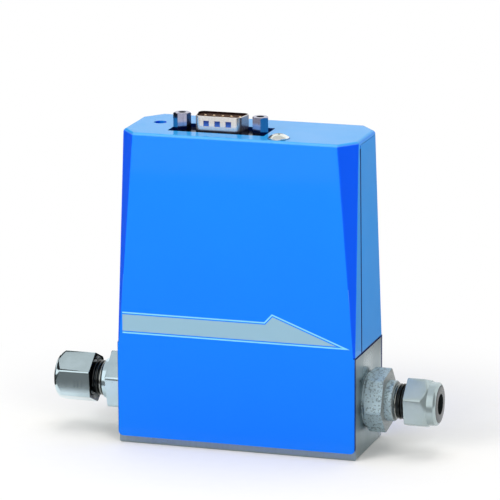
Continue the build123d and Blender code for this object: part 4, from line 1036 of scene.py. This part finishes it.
# ------------------------------------------------------------------ repeated geometry
class Patterns:
    """Geometry Nodes groups for what repeats."""

    def __init__(self) -> None:
        """Makes both geometry groups once."""
        self.helix = self.make_helix()
        self.row = self.make_row()
        LOG.info("repeating patterns made")

    @staticmethod
    def start(name: str, ports: Sequence[Port]) -> tuple[Tree, Mapping[str, Any], bpy.types.Node]:
        """Makes an empty geometry group.

        Args:
            name: the group's name.
            ports: its inputs after the geometry.

        Returns:
            The tree, its inputs by name and its output node.
        """
        tree = bpy.data.node_groups.new(name, "GeometryNodeTree")
        tree.interface.new_socket("Geometry", in_out="OUTPUT", socket_type="NodeSocketGeometry")
        for port in ports:
            item = tree.interface.new_socket(port.name, in_out="INPUT", socket_type=port.kind)
            if port.value is not None:
                item.default_value = port.value
        entry = tree.nodes.new("NodeGroupInput")
        leave = tree.nodes.new("NodeGroupOutput")
        return Tree(tree), {p.name: entry.outputs[p.name] for p in ports}, leave

    @staticmethod
    def close(t: Tree, leave: bpy.types.Node, geometry: Any, material: Any) -> bpy.types.NodeTree:
        """Ends a group in real geometry with its material.

        Args:
            t: the group's tree.
            leave: its output node.
            geometry: socket of what was made.
            material: socket of the material.

        Returns:
            The group.
        """
        real = t.add("GeometryNodeRealizeInstances", {0: geometry})
        smooth = t.add("GeometryNodeSetShadeSmooth", {"Geometry": real.outputs[0]})
        dressed = t.add("GeometryNodeSetMaterial", {"Geometry": smooth.outputs[0], "Material": material})
        t.put(leave.inputs[0], dressed.outputs[0])
        return t.tree

    def make_helix(self) -> bpy.types.NodeTree:
        """One round-crested helical turn after another, standing on the Z axis, then laid in place.

        Returns:
            The node group.
        """
        ports = [
            Port("Turns", value=3.0),
            Port("Pitch", value=0.00127),
            Port("Radius", value=0.0052),
            Port("Wire", value=0.00036),
            Port("Start", "NodeSocketVector"),
            Port("Rotation", "NodeSocketRotation"),
            Port("Material", "NodeSocketMaterial"),
        ]
        t, i, leave = self.start("HelicalTurns", ports)
        course = {
            "Resolution": 72,
            "Rotations": i["Turns"],
            "Start Radius": i["Radius"],
            "End Radius": i["Radius"],
            "Height": t.times(i["Turns"], i["Pitch"]),
        }
        spiral = t.add("GeometryNodeCurveSpiral", course)
        profile = t.add("GeometryNodeCurvePrimitiveCircle", {"Resolution": 10, "Radius": i["Wire"]})
        swept = t.add(
            "GeometryNodeCurveToMesh",
            {"Curve": spiral.outputs[0], "Profile Curve": profile.outputs[0], "Fill Caps": True},
        )
        laid = t.add(
            "GeometryNodeTransform",
            {"Geometry": swept.outputs[0], "Translation": i["Start"], "Rotation": i["Rotation"]},
        )
        return self.close(t, leave, laid.outputs[0], i["Material"])

    def make_row(self) -> bpy.types.NodeTree:
        """Small blocks repeated on a grid, such as chip legs or solder pads.

        Returns:
            The node group.
        """
        ports = [
            Port("Size", "NodeSocketVector", (0.0004, 0.0006, 0.0012)),
            Port("Count X", "NodeSocketInt", 4),
            Port("Count Z", "NodeSocketInt", 2),
            Port("Width", value=0.0038),
            Port("Height", value=0.0070),
            Port("Groups", "NodeSocketInt", 3),
            Port("Group Step", "NodeSocketVector", (0.014, 0.0, 0.0)),
            Port("Start", "NodeSocketVector"),
            Port("Rotation", "NodeSocketRotation"),
            Port("Material", "NodeSocketMaterial"),
        ]
        t, i, leave = self.start("RepeatedBlocks", ports)
        block = t.add("GeometryNodeMeshCube", {"Size": i["Size"]})
        spacing = {"Size X": i["Width"], "Size Y": i["Height"]}
        counts = {"Vertices X": i["Count X"], "Vertices Y": i["Count Z"]}
        grid = t.add("GeometryNodeMeshGrid", {**spacing, **counts})
        stood = t.add("GeometryNodeTransform", {"Geometry": grid.outputs[0], "Rotation": i["Rotation"]})
        places = {"Count": i["Groups"], "Start Location": i["Start"], "Offset": i["Group Step"]}
        line = t.add("GeometryNodeMeshLine", places)
        grids = {"Points": line.outputs[0], "Instance": stood.outputs[0]}
        sets = t.add("GeometryNodeInstanceOnPoints", grids)
        points = t.add("GeometryNodeRealizeInstances", {0: sets.outputs[0]})
        blocks = {"Points": points.outputs[0], "Instance": block.outputs[0]}
        spread = t.add("GeometryNodeInstanceOnPoints", blocks)
        return self.close(t, leave, spread.outputs[0], i["Material"])

    @staticmethod
    def bake(name: str, group: bpy.types.NodeTree, values: Mapping[str, Any]) -> bpy.types.Object:
        """Runs a group once and keeps its result as a plain mesh.

        Args:
            name: the new piece's name.
            group: the geometry group.
            values: its inputs by name.

        Returns:
            The mesh object, with no modifier left.
        """
        carrier = bpy.data.objects.new(name, bpy.data.meshes.new(f"{name}.seed"))
        bpy.context.scene.collection.objects.link(carrier)
        modifier = carrier.modifiers.new("Pattern", "NODES")
        modifier.node_group = group
        ids = {s.name: s.identifier for s in group.interface.items_tree if s.in_out == "INPUT"}
        for key, value in values.items():
            modifier[ids[key]] = value
        carrier.update_tag()
        bpy.context.view_layer.update()
        depsgraph = bpy.context.evaluated_depsgraph_get()
        mesh = bpy.data.meshes.new_from_object(carrier.evaluated_get(depsgraph), depsgraph=depsgraph)
        carrier.modifiers.remove(modifier)
        carrier.data = mesh
        mesh.name = name
        LOG.info("%s: %d faces", name, len(mesh.polygons))
        return carrier


# ------------------------------------------------------------------ turned and hexagonal bars
@dataclass(frozen=True)
class Ring:
    """One station of a bar that is round or hexagonal there.

    Attributes:
        station: distance outwards from the block's face, in millimetres.
        radius: largest radius, in millimetres.
        flats: distance across flats, in millimetres, or infinite where the bar is round.
    """

    station: float
    radius: float
    flats: float = math.inf


@dataclass(frozen=True)
class Hexagon:
    """A hexagonal stretch of a bar, in millimetres, with its ends broken or chamfered.

    Attributes:
        start: near end's station.
        end: far end's station.
        flats: distance across flats.
        near_run: length of the near chamfer at the corners.
        far_run: length of the far chamfer at the corners.
        near_radius: chamfer's radius at the near end.
        far_radius: chamfer's radius at the far end.
        corner_share: how much of the sharp corner is left.
        steps: stretches in each chamfer.
    """

    start: float
    end: float
    flats: float
    near_run: float
    far_run: float
    near_radius: float
    far_radius: float
    corner_share: float = 0.987
    steps: int = 6

    def rings(self) -> list[Ring]:
        """Gives the stretch's rings from the near end to the far end.

        Returns:
            The rings.
        """
        corner = self.flats / math.sqrt(3) * self.corner_share
        near, far = [], []
        for step in range(self.steps + 1):
            share = step / self.steps
            rise = self.near_radius + (corner - self.near_radius) * share
            near.append(Ring(self.start + self.near_run * share, rise, self.flats))
            fall = corner + (self.far_radius - corner) * share
            far.append(Ring(self.end - self.far_run * (1 - share), fall, self.flats))
        return near + far


@dataclass(frozen=True)
class Bar:
    """A closed profile swept about the flow axis on one side of the block.

    Attributes:
        name: the piece's name.
        rings: the profile, outwards along the skin and back along the bore.
        turn: bearing of the first corner, in degrees from straight up towards the front.
        sign: 1 on the +X side, -1 on the -X side.
        face: distance of the block's face from the middle, in millimetres.
        height: height of the flow axis, in millimetres.
        corner_offsets: bearings from a corner at which the sweep has points, in degrees.
        sharp: angle above which an edge is sharp.
    """

    name: str
    rings: Sequence[Ring]
    turn: float
    sign: float
    face: float = 38.0
    height: float = 16.0
    corner_offsets: tuple[float, ...] = (0.0, 1.7, 4.0, 8.0, 12.5, 17.0, 21.5, 26.0)
    sharp: float = math.radians(24.0)

    def angles(self) -> list[tuple[float, float]]:
        """Lists the sweep's angles from straight up towards the front.

        Returns:
            Pairs of the angle and how far it lies from the nearest flat's middle, in degrees.
        """
        half = list(self.corner_offsets) + [30.0]
        sector = half + [60.0 - offset for offset in reversed(self.corner_offsets[1:])]
        return [
            (self.turn + 60.0 * index + offset, 30.0 - min(offset, 60.0 - offset))
            for index in range(6)
            for offset in sector
        ]

    def build(self) -> bpy.types.Object:
        """Makes the bar's mesh.

        Returns:
            The object, with its place in the mesh.
        """
        angles = self.angles()
        points = []
        for ring in self.rings:
            for angle, from_flat in angles:
                radius = ring.radius
                if ring.flats < math.inf:
                    radius = min(radius, ring.flats / 2 / math.cos(math.radians(from_flat)))
                bearing = math.radians(angle)
                points.append((
                    self.sign * (self.face + ring.station) * MM,
                    -radius * math.sin(bearing) * MM,
                    (self.height + radius * math.cos(bearing)) * MM,
                ))
        count, total = len(angles), len(self.rings)
        faces = []
        for row in range(total):
            after = (row + 1) % total
            for column in range(count):
                side = (column + 1) % count
                near, far = row * count, after * count
                faces.append((near + column, near + side, far + side, far + column))
        mesh = bpy.data.meshes.new(self.name)
        mesh.from_pydata(points, [], faces)
        work = bmesh.new()
        work.from_mesh(mesh)
        bmesh.ops.recalc_face_normals(work, faces=work.faces)
        work.to_mesh(mesh)
        work.free()
        mesh.shade_smooth()
        mesh.set_sharp_from_angle(angle=self.sharp)
        piece = bpy.data.objects.new(self.name, mesh)
        bpy.context.scene.collection.objects.link(piece)
        LOG.info("%s: %d faces", self.name, len(mesh.polygons))
        return piece


# ------------------------------------------------------------------ sub-assemblies
@dataclass
class Workshop:
    """What every sub-assembly needs to build and dress its pieces."""

    frame: Mapping[str, Any]
    shop: MaterialShop
    patterns: Patterns

    def dress(self, finish: str, *nodes: str) -> None:
        """Gives CAD nodes a material.

        Args:
            finish: the finish's name.
            *nodes: the nodes' names.
        """
        material = self.shop.get(finish)
        for name in nodes:
            piece = self.frame["nodes"][name]
            if not piece.material_slots:
                piece.data.materials.append(material)
            for slot in piece.material_slots:
                slot.material = material
            LOG.info("%s wears %s", name, finish)

    def wind(
        self, name: str, start: Vector, sign: float, finish: str, sizes: Mapping[str, float]
    ) -> bpy.types.Object:
        """Winds helical turns along the flow axis.

        Args:
            name: the piece's name.
            start: middle of the first turn.
            sign: 1 to wind towards +X, -1 towards -X.
            finish: the finish's name.
            sizes: turns, pitch, radius and wire by the pattern's input names.

        Returns:
            The mesh object.
        """
        laid = {
            "Start": start,
            "Rotation": Euler((0.0, sign * math.pi / 2, 0.0)),
            "Material": self.shop.get(finish),
        }
        return Patterns.bake(name, self.patterns.helix, {**sizes, **laid})


@dataclass
class Housing:
    """Front and rear covers with the screws that hold them."""

    work: Workshop

    def dress(self) -> None:
        """Paints the covers and plates their screws."""
        self.work.dress("front_paint", "front_cover")
        self.work.dress("rear_paint", "rear_cover")
        self.work.dress("screw_steel", "cover_top_screw", "rear_cover_screws")
        self.work.dress("zinc_plate", "cover_clinch_nut")


@dataclass(frozen=True)
class FittingSide:
    """What differs between the two tube fittings, in millimetres and degrees.

    Stations are measured outwards from the block's face.

    Attributes:
        name: the side's name.
        sign: 1 on the +X side, -1 on the -X side.
        body_turn: how far the body's hexagon is turned.
        nut_turn: how far the nut's hexagon is turned.
        nut_start: station of the nut's back.
        hex_end: station where the nut's hexagon ends.
        nut_end: station of the nut's mouth.
        boss: radius of the round boss past the hexagon.
        far_run: length of the hexagon's outer chamfer.
        thread_turns: turns of thread on the neck.
        body_finish: the body's finish.
        nut_finish: the nut's finish.
    """

    name: str
    sign: float
    body_turn: float
    nut_turn: float
    nut_start: float
    hex_end: float
    nut_end: float
    boss: float
    far_run: float
    thread_turns: float
    body_finish: str
    nut_finish: str


INLET = FittingSide(
    name="inlet",
    sign=-1.0,
    body_turn=14.5,
    nut_turn=6.0,
    nut_start=12.5,
    hex_end=23.7,
    nut_end=24.6,
    boss=6.9,
    far_run=1.5,
    thread_turns=2.3,
    body_finish="fitting_steel",
    nut_finish="nut_steel",
)
OUTLET = FittingSide(
    name="outlet",
    sign=1.0,
    body_turn=-20.5,
    nut_turn=11.0,
    nut_start=12.9,
    hex_end=19.9,
    nut_end=22.8,
    boss=6.8,
    far_run=1.6,
    thread_turns=2.6,
    body_finish="outlet_steel",
    nut_finish="outlet_nut_steel",
)


@dataclass
class FlowPath:
    """Base block, fittings and the parts in the gas stream, in millimetres.

    Attributes:
        work: what builds and dresses.
        sides: the two fittings.
        edge: width of the small broken edges.
        plug_depth: how far the body's plug goes into the block.
        plug_lead: length of the plug's lead-in.
        plug_nose: radius of the plug's nose.
        plug_radius: radius of the plug.
        relief_depth: depth of the seal's groove.
        relief_radius: radius of the groove's floor.
        port_bore: radius of the bore into the block.
        flange_radius: radius of the round flange on the block's face.
        body_start: station of the body's hexagon.
        body_end: station where that hexagon ends.
        body_flats: distance across its flats.
        body_runs: lengths of its near and far chamfers.
        body_shares: chamfer radii over the distance across flats.
        collar: radius of the round collar past the hexagon.
        shoulder: station of the collar's end.
        neck: radius of the threaded neck.
        neck_root: radius of the neck behind the nut.
        neck_back: how far the neck's mouth lies inside the nut's mouth.
        tube_seat: radius of the cone that takes the ferrule.
        seat_run: length of that cone.
        tube_stop: depth of the tube's stop from the neck's mouth.
        bore: radius of the tube's bore.
        nut_flats: distance across the nut's flats.
        nut_near_run: length of the nut's inner chamfer.
        nut_corner: radius of the nut's inner chamfer.
        boss_step: how far the outer chamfer ends above the boss.
        boss_run: length of the step from the chamfer to the boss.
        nut_lead: length and depth of the lead-in to the nut's thread.
        mouth_gap: gap between the neck and the nut.
        mouth_steps: how far back and how far in the boss's rounded end lies at each ring.
        throat: depth and radius of the bore in the nut's mouth.
        ferrule_seat: depth and radius of the cone behind it.
        thread_start: distance of the first turn from the middle.
        thread_pitch: distance from turn to turn.
        crest: radius of the thread's crest.
        wire: radius of a turn's section.
        axis_height: height of the flow axis.
    """

    work: Workshop
    sides: Sequence[FittingSide] = (INLET, OUTLET)
    edge: float = 0.3
    plug_depth: float = 10.5
    plug_lead: float = 0.8
    plug_nose: float = 6.3
    plug_radius: float = 7.1
    relief_depth: float = 2.4
    relief_radius: float = 6.4
    port_bore: float = 2.4
    flange_radius: float = 8.4
    body_start: float = 0.6
    body_end: float = 6.5
    body_flats: float = 17.46
    body_runs: tuple[float, float] = (0.75, 0.25)
    body_shares: tuple[float, float] = (0.4925, 0.563)
    collar: float = 6.3
    shoulder: float = 9.0
    neck: float = 5.56
    neck_root: float = 4.9
    neck_back: float = 7.0
    tube_seat: float = 4.36
    seat_run: float = 2.0
    tube_stop: float = 11.0
    bore: float = 3.2
    nut_flats: float = 14.29
    nut_near_run: float = 0.12
    nut_corner: float = 8.0
    boss_step: float = 0.12
    boss_run: float = 0.02
    nut_lead: float = 1.1
    mouth_gap: float = 0.05
    mouth_steps: Sequence[tuple[float, float]] = ((0.8, 0.1), (0.35, 0.5), (0.08, 1.0), (0.0, 1.4))
    throat: tuple[float, float] = (3.0, 3.7)
    ferrule_seat: tuple[float, float] = (4.7, 4.56)
    thread_start: float = 47.45
    thread_pitch: float = 1.15
    crest: float = 5.55
    wire: float = 0.40
    axis_height: float = 16.0

    def body_rings(self, side: FittingSide) -> list[Ring]:
        """Gives a fitting body's closed profile.

        Args:
            side: the side's own sizes.

        Returns:
            The rings, outwards along the skin and back along the bore.
        """
        neck_end = side.nut_end - self.neck_back
        corners = [self.body_flats * share for share in self.body_shares]
        hexagon = Hexagon(self.body_start, self.body_end, self.body_flats, *self.body_runs, *corners)
        return [
            Ring(-self.plug_depth, self.port_bore),
            Ring(-self.plug_depth, self.plug_nose),
            Ring(-self.plug_depth + self.plug_lead, self.plug_radius),
            Ring(-self.relief_depth, self.plug_radius),
            Ring(-self.relief_depth, self.relief_radius),
            Ring(0.0, self.relief_radius),
            Ring(0.0, self.flange_radius),
            Ring(self.body_start, self.flange_radius),
            *hexagon.rings(),
            Ring(self.body_end, self.collar),
            Ring(self.shoulder - self.edge, self.collar),
            Ring(self.shoulder, self.collar - self.edge),
            Ring(self.shoulder, self.neck_root),
            Ring(side.nut_start + self.edge, self.neck_root),
            Ring(side.nut_start + 2 * self.edge, self.neck),
            Ring(neck_end, self.neck),
            Ring(neck_end, self.tube_seat),
            Ring(neck_end - self.seat_run, self.bore),
            Ring(neck_end - self.tube_stop, self.bore),
            Ring(neck_end - self.tube_stop, self.port_bore),
        ]

    def nut_rings(self, side: FittingSide) -> list[Ring]:
        """Gives a nut's closed profile.

        Args:
            side: the side's own sizes.

        Returns:
            The rings, outwards along the skin and back along the bore.
        """
        mouth = self.neck + self.mouth_gap
        runs, corners = (self.nut_near_run, side.far_run), (self.nut_corner, side.boss + self.boss_step)
        hexagon = Hexagon(side.nut_start, side.hex_end, self.nut_flats, *runs, *corners)
        (throat_depth, throat), (seat_depth, seat) = self.throat, self.ferrule_seat
        return [
            Ring(side.nut_start, mouth + self.nut_lead),
            *hexagon.rings(),
            Ring(side.hex_end + self.boss_run, side.boss),
            *(Ring(side.nut_end - back, side.boss - inward) for back, inward in self.mouth_steps),
            Ring(side.nut_end, self.bore),
            Ring(side.nut_end - throat_depth, self.bore),
            Ring(side.nut_end - throat_depth, throat),
            Ring(side.nut_end - seat_depth, seat),
            Ring(side.nut_end - seat_depth, mouth),
            Ring(side.nut_start + self.nut_lead, mouth),
        ]

    def build(self) -> None:
        """Turns the fittings' bodies and nuts, and cuts the visible neck threads as helical turns."""
        for side in self.sides:
            for end, rings, turn, finish in (
                ("fitting_body", self.body_rings(side), side.body_turn, side.body_finish),
                ("nut", self.nut_rings(side), side.nut_turn, side.nut_finish),
            ):
                piece = Bar(f"{side.name}_{end}_turned", rings, turn, side.sign).build()
                piece.data.materials.append(self.work.shop.get(finish))
                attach(piece, "meter")
                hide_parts(f"{side.name}_{end}")
        for side in self.sides:
            start = Vector((side.sign * self.thread_start, 0.0, self.axis_height)) * MM
            sizes = {
                "Turns": side.thread_turns,
                "Pitch": self.thread_pitch * MM,
                "Radius": (self.crest - self.wire) * MM,
                "Wire": self.wire * MM,
            }
            piece = self.work.wind(f"{side.name}_neck_thread", start, side.sign, "thread_steel", sizes)
            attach(piece, "meter")

    def dress(self) -> None:
        """Gives the steel pieces their machined finishes."""
        self.work.dress("block_steel", "base_block")
        ferrules = [f"{side}_{end}_ferrule" for side in ("inlet", "outlet") for end in ("front", "back")]
        self.work.dress("ferrule_steel", *ferrules, "inlet_screen", "bypass_element", "bypass_retainer")
        self.work.dress("seal_rubber", "inlet_port_seal", "outlet_port_seal", "sensor_seals")


@dataclass
class Sensor:
    """Capillary sensor with its windings and can, in metres.

    Attributes:
        work: what builds and dresses.
        winding_length: length of one winding.
        winding_gap: gap between the windings.
        level: height of the capillary's straight run.
        depth: how far that run lies behind the middle, towards +Y.
        wire_pitch: distance from turn to turn.
        wire_share: radius of the wire over its pitch.
        winding_radius: radius at the wire's middle.
    """

    work: Workshop
    winding_length: float = 5.5 * MM
    winding_gap: float = 3.0 * MM
    level: float = 56.0 * MM
    depth: float = -4.0 * MM
    wire_pitch: float = 0.22 * MM
    wire_share: float = 0.45
    winding_radius: float = 0.86 * MM

    def build(self) -> None:
        """Lays the wire's turns over both windings."""
        for side, sign in (("upstream", -1.0), ("downstream", 1.0)):
            start = Vector((sign * self.winding_gap / 2, self.depth, self.level))
            sizes = {
                "Turns": self.winding_length / self.wire_pitch,
                "Pitch": self.wire_pitch,
                "Radius": self.winding_radius,
                "Wire": self.wire_pitch * self.wire_share,
            }
            piece = self.work.wind(f"{side}_wire_turns", start, sign, "winding_copper", sizes)
            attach(piece, "meter")

    def dress(self) -> None:
        """Gives the sensor's pieces their finishes."""
        self.work.dress("fitting_steel", "sensor_base", "sensor_tube")
        self.work.dress("winding_copper", "upstream_winding", "downstream_winding")
        self.work.dress("sensor_can", "sensor_case")
        self.work.dress("board_laminate", "sensor_terminal_board")
        self.work.dress("screw_steel", "sensor_screws")


@dataclass
class Connector:
    """Nine-way connector with its jackscrews."""

    work: Workshop

    def dress(self) -> None:
        """Plates the connector's metal and colours its insulator."""
        self.work.dress("tin_shell", "connector_front_shell")
        self.work.dress("tin_flange", "connector_rear_shell")
        self.work.dress("insulator_plastic", "connector_insulator")
        self.work.dress("pin_gold", "connector_pins")
        self.work.dress("jack_steel", "left_jackscrew", "right_jackscrew")
        self.work.dress("zinc_plate", "jackscrew_washers", "jackscrew_nuts")


@dataclass
class Electronics:
    """Boards, their parts and the bracket that carries them, in metres.

    Attributes:
        work: what builds and dresses.
        leg_size: one chip leg's sizes.
        first_chip: the first chip's middle along X.
    """

    work: Workshop
    leg_size: tuple[float, float, float] = (0.0004, 0.0005, 0.0012)
    first_chip: float = -0.014

    def build(self) -> None:
        """Adds the chips' legs in two rows each."""
        low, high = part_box("amplifier_chips")
        board_low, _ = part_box("main_board")
        level = (low.z + high.z) / 2
        start = Vector((self.first_chip, board_low.y - self.leg_size[1] / 2, level))
        piece = Patterns.bake(
            "amplifier_chip_legs",
            self.work.patterns.row,
            {
                "Size": Vector(self.leg_size),
                "Height": high.z - low.z + self.leg_size[2],
                "Start": start,
                "Rotation": Euler((math.pi / 2, 0.0, 0.0)),
                "Material": self.work.shop.get("leg_tin"),
            },
        )
        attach(piece, "meter")

    def dress(self) -> None:
        """Gives the boards and their parts their finishes."""
        self.work.dress("zinc_plate", "chassis_bracket", "board_standoffs")
        self.work.dress("screw_steel", "chassis_screws", "board_screws")
        self.work.dress("board_laminate", "main_board", "connector_board")
        self.work.dress("chip_epoxy", "amplifier_chips", "voltage_regulator", "board_link_header")
        self.work.dress("capacitor_can", "filter_capacitors")
        self.work.dress("pin_gold", "board_link_pins")


@dataclass
class ZeroAdjuster:
    """Trimmer that turns under the hole in the cover's top."""

    work: Workshop

    def dress(self) -> None:
        """Colours the trimmer's case and its rotor."""
        self.work.dress("trimmer_plastic", "zero_trimmer_body")
        self.work.dress("rotor_plastic", "zero_trimmer_rotor")


# ------------------------------------------------------------------ studio
@dataclass(frozen=True)
class Lamp:
    """One soft rectangular light.

    Attributes:
        name: the lamp's name.
        place: its position.
        aim: the point that it faces.
        size: its two sides.
        power: its power in watts.
        tint: its colour.
    """

    name: str
    place: tuple[float, float, float]
    aim: tuple[float, float, float]
    size: tuple[float, float]
    power: float
    tint: Colour = (1.0, 1.0, 1.0)


@dataclass(frozen=True)
class Card:
    """A flat board of plain grey that only reflections see.

    Attributes:
        name: the card's name.
        place: its middle.
        aim: the point that it faces.
        size: its two sides.
        shade: its grey level.
    """

    name: str
    place: tuple[float, float, float]
    aim: tuple[float, float, float]
    size: tuple[float, float]
    shade: float


@dataclass
class Studio:
    """Pale floor, soft light, world and camera, in metres.

    Attributes:
        azimuth: the camera's bearing about Z.
        elevation: its angle above the floor.
        roll: how far it is tilted.
        target: the point that it looks at.
        distance: how far it stands from that point.
        lens: its focal length in millimetres.
        shift: how far its picture is shifted.
        ambient: the world's strength on the object.
        floor_reach: half the floor's side.
        floor_drop: how far the floor lies below the object's foot.
        fade: distances from the middle where the floor's shade starts and ends to fade.
        floor_tones: the floor's two colours.
        grain_scale: scale of the drift between them.
        lamps: the soft lights.
        cards: the boards that reflections see.
    """

    azimuth: float = math.radians(17.458)
    elevation: float = math.radians(13.603)
    roll: float = math.radians(-0.3)
    target: tuple[float, float, float] = (0.0, 0.0, 0.062)
    distance: float = 1.2311347
    lens: float = 288.64
    shift: tuple[float, float] = (0.000577, -0.010217)
    ambient: float = 0.42
    floor_reach: float = 6.0
    floor_drop: float = 0.00005
    fade: tuple[float, float] = (0.045, 0.14)
    floor_tones: tuple[Colour, Colour] = ((0.955, 0.945, 0.925), (0.985, 0.975, 0.955))
    grain_scale: float = 240.0
    lamps: Sequence[Lamp] = field(
        default_factory=lambda: (
            Lamp("key", (-0.42, -0.74, 0.42), (0.0, 0.0, 0.06), (0.5, 0.4), 3.0),
            Lamp("fill", (0.52, -0.62, 0.30), (0.0, 0.0, 0.06), (0.4, 0.4), 1.6),
            Lamp("top", (0.0, 0.10, 0.80), (0.0, 0.0, 0.06), (0.5, 0.5), 2.5),
        )
    )
    cards: Sequence[Card] = (
        Card("left_card", (-0.20, 0.10, 0.17), (0.0, 0.10, 0.17), (0.40, 0.26), 0.02),
        Card("left_floor_card", (-0.30, 0.12, 0.0006), (-0.30, 0.12, 1.0), (0.42, 0.36), 0.03),
        Card("right_card", (0.18, -0.115, 0.15), (0.0, -0.115, 0.15), (0.27, 0.30), 0.03),
        Card("front_card", (-0.08, -0.205, 0.0006), (-0.08, -0.205, 1.0), (0.60, 0.35), 0.17),
        Card("back_card", (-0.12, 0.13, 0.0007), (-0.12, 0.13, 1.0), (0.24, 0.20), 0.02),
        Card("side_card", (0.15, 0.30, 0.0006), (0.15, 0.30, 1.0), (0.26, 0.38), 0.35),
        Card("sky_card", (0.0, 0.0, 0.70), (0.0, 0.0, 0.0), (0.90, 0.90), 0.60),
    )

    def build(self) -> None:
        """Builds the whole studio."""
        self.build_world()
        self.build_floor()
        for lamp in self.lamps:
            self.build_lamp(lamp)
        for card in self.cards:
            self.build_card(card)
        self.build_camera()
        bpy.context.scene.view_settings.view_transform = "Standard"

    @staticmethod
    def seen(t: Tree) -> Socket:
        """Gives 1 on camera, glossy and transmission rays.

        Args:
            t: the tree to add to.

        Returns:
            The socket.
        """
        path = t.add("ShaderNodeLightPath")
        total = t.math("ADD", path.outputs["Is Camera Ray"], path.outputs["Is Glossy Ray"])
        return t.math("ADD", total, path.outputs["Is Transmission Ray"], clamp=True)

    def build_world(self) -> None:
        """Makes a white world for the eye and a plain level of light for the object."""
        world = bpy.data.worlds.new("studio_world")
        t = cleared(world)
        light = t.add("ShaderNodeBackground", {"Color": WHITE, "Strength": self.ambient})
        white = t.add("ShaderNodeBackground", {"Color": WHITE, "Strength": 1.0})
        both = t.add("ShaderNodeMixShader", {0: self.seen(t), 1: light.outputs[0], 2: white.outputs[0]})
        t.add("ShaderNodeOutputWorld", {"Surface": both.outputs[0]})
        bpy.context.scene.world = world

    @staticmethod
    def sheet(name: str, half_x: float, half_y: float) -> bpy.types.Object:
        """Makes a flat rectangle about the origin.

        Args:
            name: the piece's name.
            half_x: half its side along X.
            half_y: half its side along Y.

        Returns:
            The object.
        """
        mesh = bpy.data.meshes.new(name)
        signs = ((-1, -1), (1, -1), (1, 1), (-1, 1))
        mesh.from_pydata([(x * half_x, y * half_y, 0.0) for x, y in signs], [], [(0, 1, 2, 3)])
        piece = bpy.data.objects.new(name, mesh)
        bpy.context.scene.collection.objects.link(piece)
        return piece

    def build_floor(self) -> None:
        """Lays a pale floor that takes the shadow and fades to white away from the object."""
        floor = self.sheet("floor", self.floor_reach, self.floor_reach)
        floor.location.z = -self.floor_drop
        material = bpy.data.materials.new("pale_floor")
        t = cleared(material)
        place = t.add("ShaderNodeTexCoord").outputs["Object"]
        away = t.vector("LENGTH", place, output="Value")
        fade = t.times(t.step(away, *self.fade), self.seen(t))
        grain = t.add("ShaderNodeTexNoise", {"Vector": place, "Scale": self.grain_scale, "Detail": 3.0})
        deep, pale = self.floor_tones
        tone = t.mix(grain.outputs[0], rgba(deep), rgba(pale))
        matte = t.add("ShaderNodeBsdfDiffuse", {"Color": tone, "Roughness": 0.6})
        white = t.add("ShaderNodeEmission", {"Color": WHITE, "Strength": 1.0})
        both = t.add("ShaderNodeMixShader", {0: fade, 1: matte.outputs[0], 2: white.outputs[0]})
        t.add("ShaderNodeOutputMaterial", {"Surface": both.outputs[0]})
        floor.data.materials.append(material)
        LOG.info("floor laid")

    @staticmethod
    def face(piece: bpy.types.Object, place: Sequence[float], aim: Sequence[float]) -> None:
        """Puts an object somewhere and turns it to a point.

        Args:
            piece: the object.
            place: where it goes.
            aim: the point that its -Z axis looks at.
        """
        piece.location = place
        way = Vector(aim) - Vector(place)
        piece.rotation_euler = way.to_track_quat("-Z", "Y").to_euler()

    def build_lamp(self, lamp: Lamp) -> None:
        """Hangs one soft light.

        Args:
            lamp: what to hang.
        """
        data = bpy.data.lights.new(lamp.name, "AREA")
        data.shape = "RECTANGLE"
        data.size, data.size_y = lamp.size
        data.energy = lamp.power
        data.color = lamp.tint
        piece = bpy.data.objects.new(lamp.name, data)
        bpy.context.scene.collection.objects.link(piece)
        piece.visible_camera = False
        piece.visible_glossy = False
        self.face(piece, lamp.place, lamp.aim)
        LOG.info("lamp %s hung", lamp.name)

    def build_card(self, card: Card) -> None:
        """Stands one card that only reflections see.

        Args:
            card: what to stand.
        """
        piece = self.sheet(card.name, card.size[0] / 2, card.size[1] / 2)
        material = bpy.data.materials.new(card.name)
        t = cleared(material)
        glow = t.add("ShaderNodeEmission", {"Color": rgba((card.shade,) * 3), "Strength": 1.0})
        t.add("ShaderNodeOutputMaterial", {"Surface": glow.outputs[0]})
        piece.data.materials.append(material)
        piece.visible_camera = False
        piece.visible_diffuse = False
        piece.visible_shadow = False
        self.face(piece, card.place, card.aim)
        LOG.info("card %s stood", card.name)

    def build_camera(self) -> None:
        """Sets the camera at the viewing angle."""
        east, south = math.sin(self.azimuth), math.cos(self.azimuth)
        level, rise = math.cos(self.elevation), math.sin(self.elevation)
        back = Vector((east * level, -south * level, rise))
        right = Vector((south, east, 0.0))
        up = back.cross(right)
        turned_right = right * math.cos(self.roll) + up * math.sin(self.roll)
        turned_up = up * math.cos(self.roll) - right * math.sin(self.roll)
        data = bpy.data.cameras.new("camera")
        data.sensor_width = 36.0
        data.lens = self.lens
        data.shift_x, data.shift_y = self.shift
        data.clip_start, data.clip_end = 0.05, 20.0
        camera = bpy.data.objects.new("camera", data)
        bpy.context.scene.collection.objects.link(camera)
        place = Vector(self.target) + back * self.distance
        rows = Matrix((turned_right, turned_up, back)).transposed().to_4x4()
        camera.matrix_world = Matrix.Translation(place) @ rows
        bpy.context.scene.camera = camera
        LOG.info("camera set")


def main() -> None:
    """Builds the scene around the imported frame."""
    logging.basicConfig(level=logging.INFO, format="%(name)s: %(message)s")
    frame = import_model()
    work = Workshop(frame, MaterialShop(Effects()), Patterns())
    housing, flow, sensor = Housing(work), FlowPath(work), Sensor(work)
    connector, electronics, adjuster = Connector(work), Electronics(work), ZeroAdjuster(work)
    for part in (flow, sensor, electronics):
        part.build()
    for part in (housing, flow, sensor, connector, electronics, adjuster):
        part.dress()
    Studio().build()


if __name__ == "__main__":
    main()
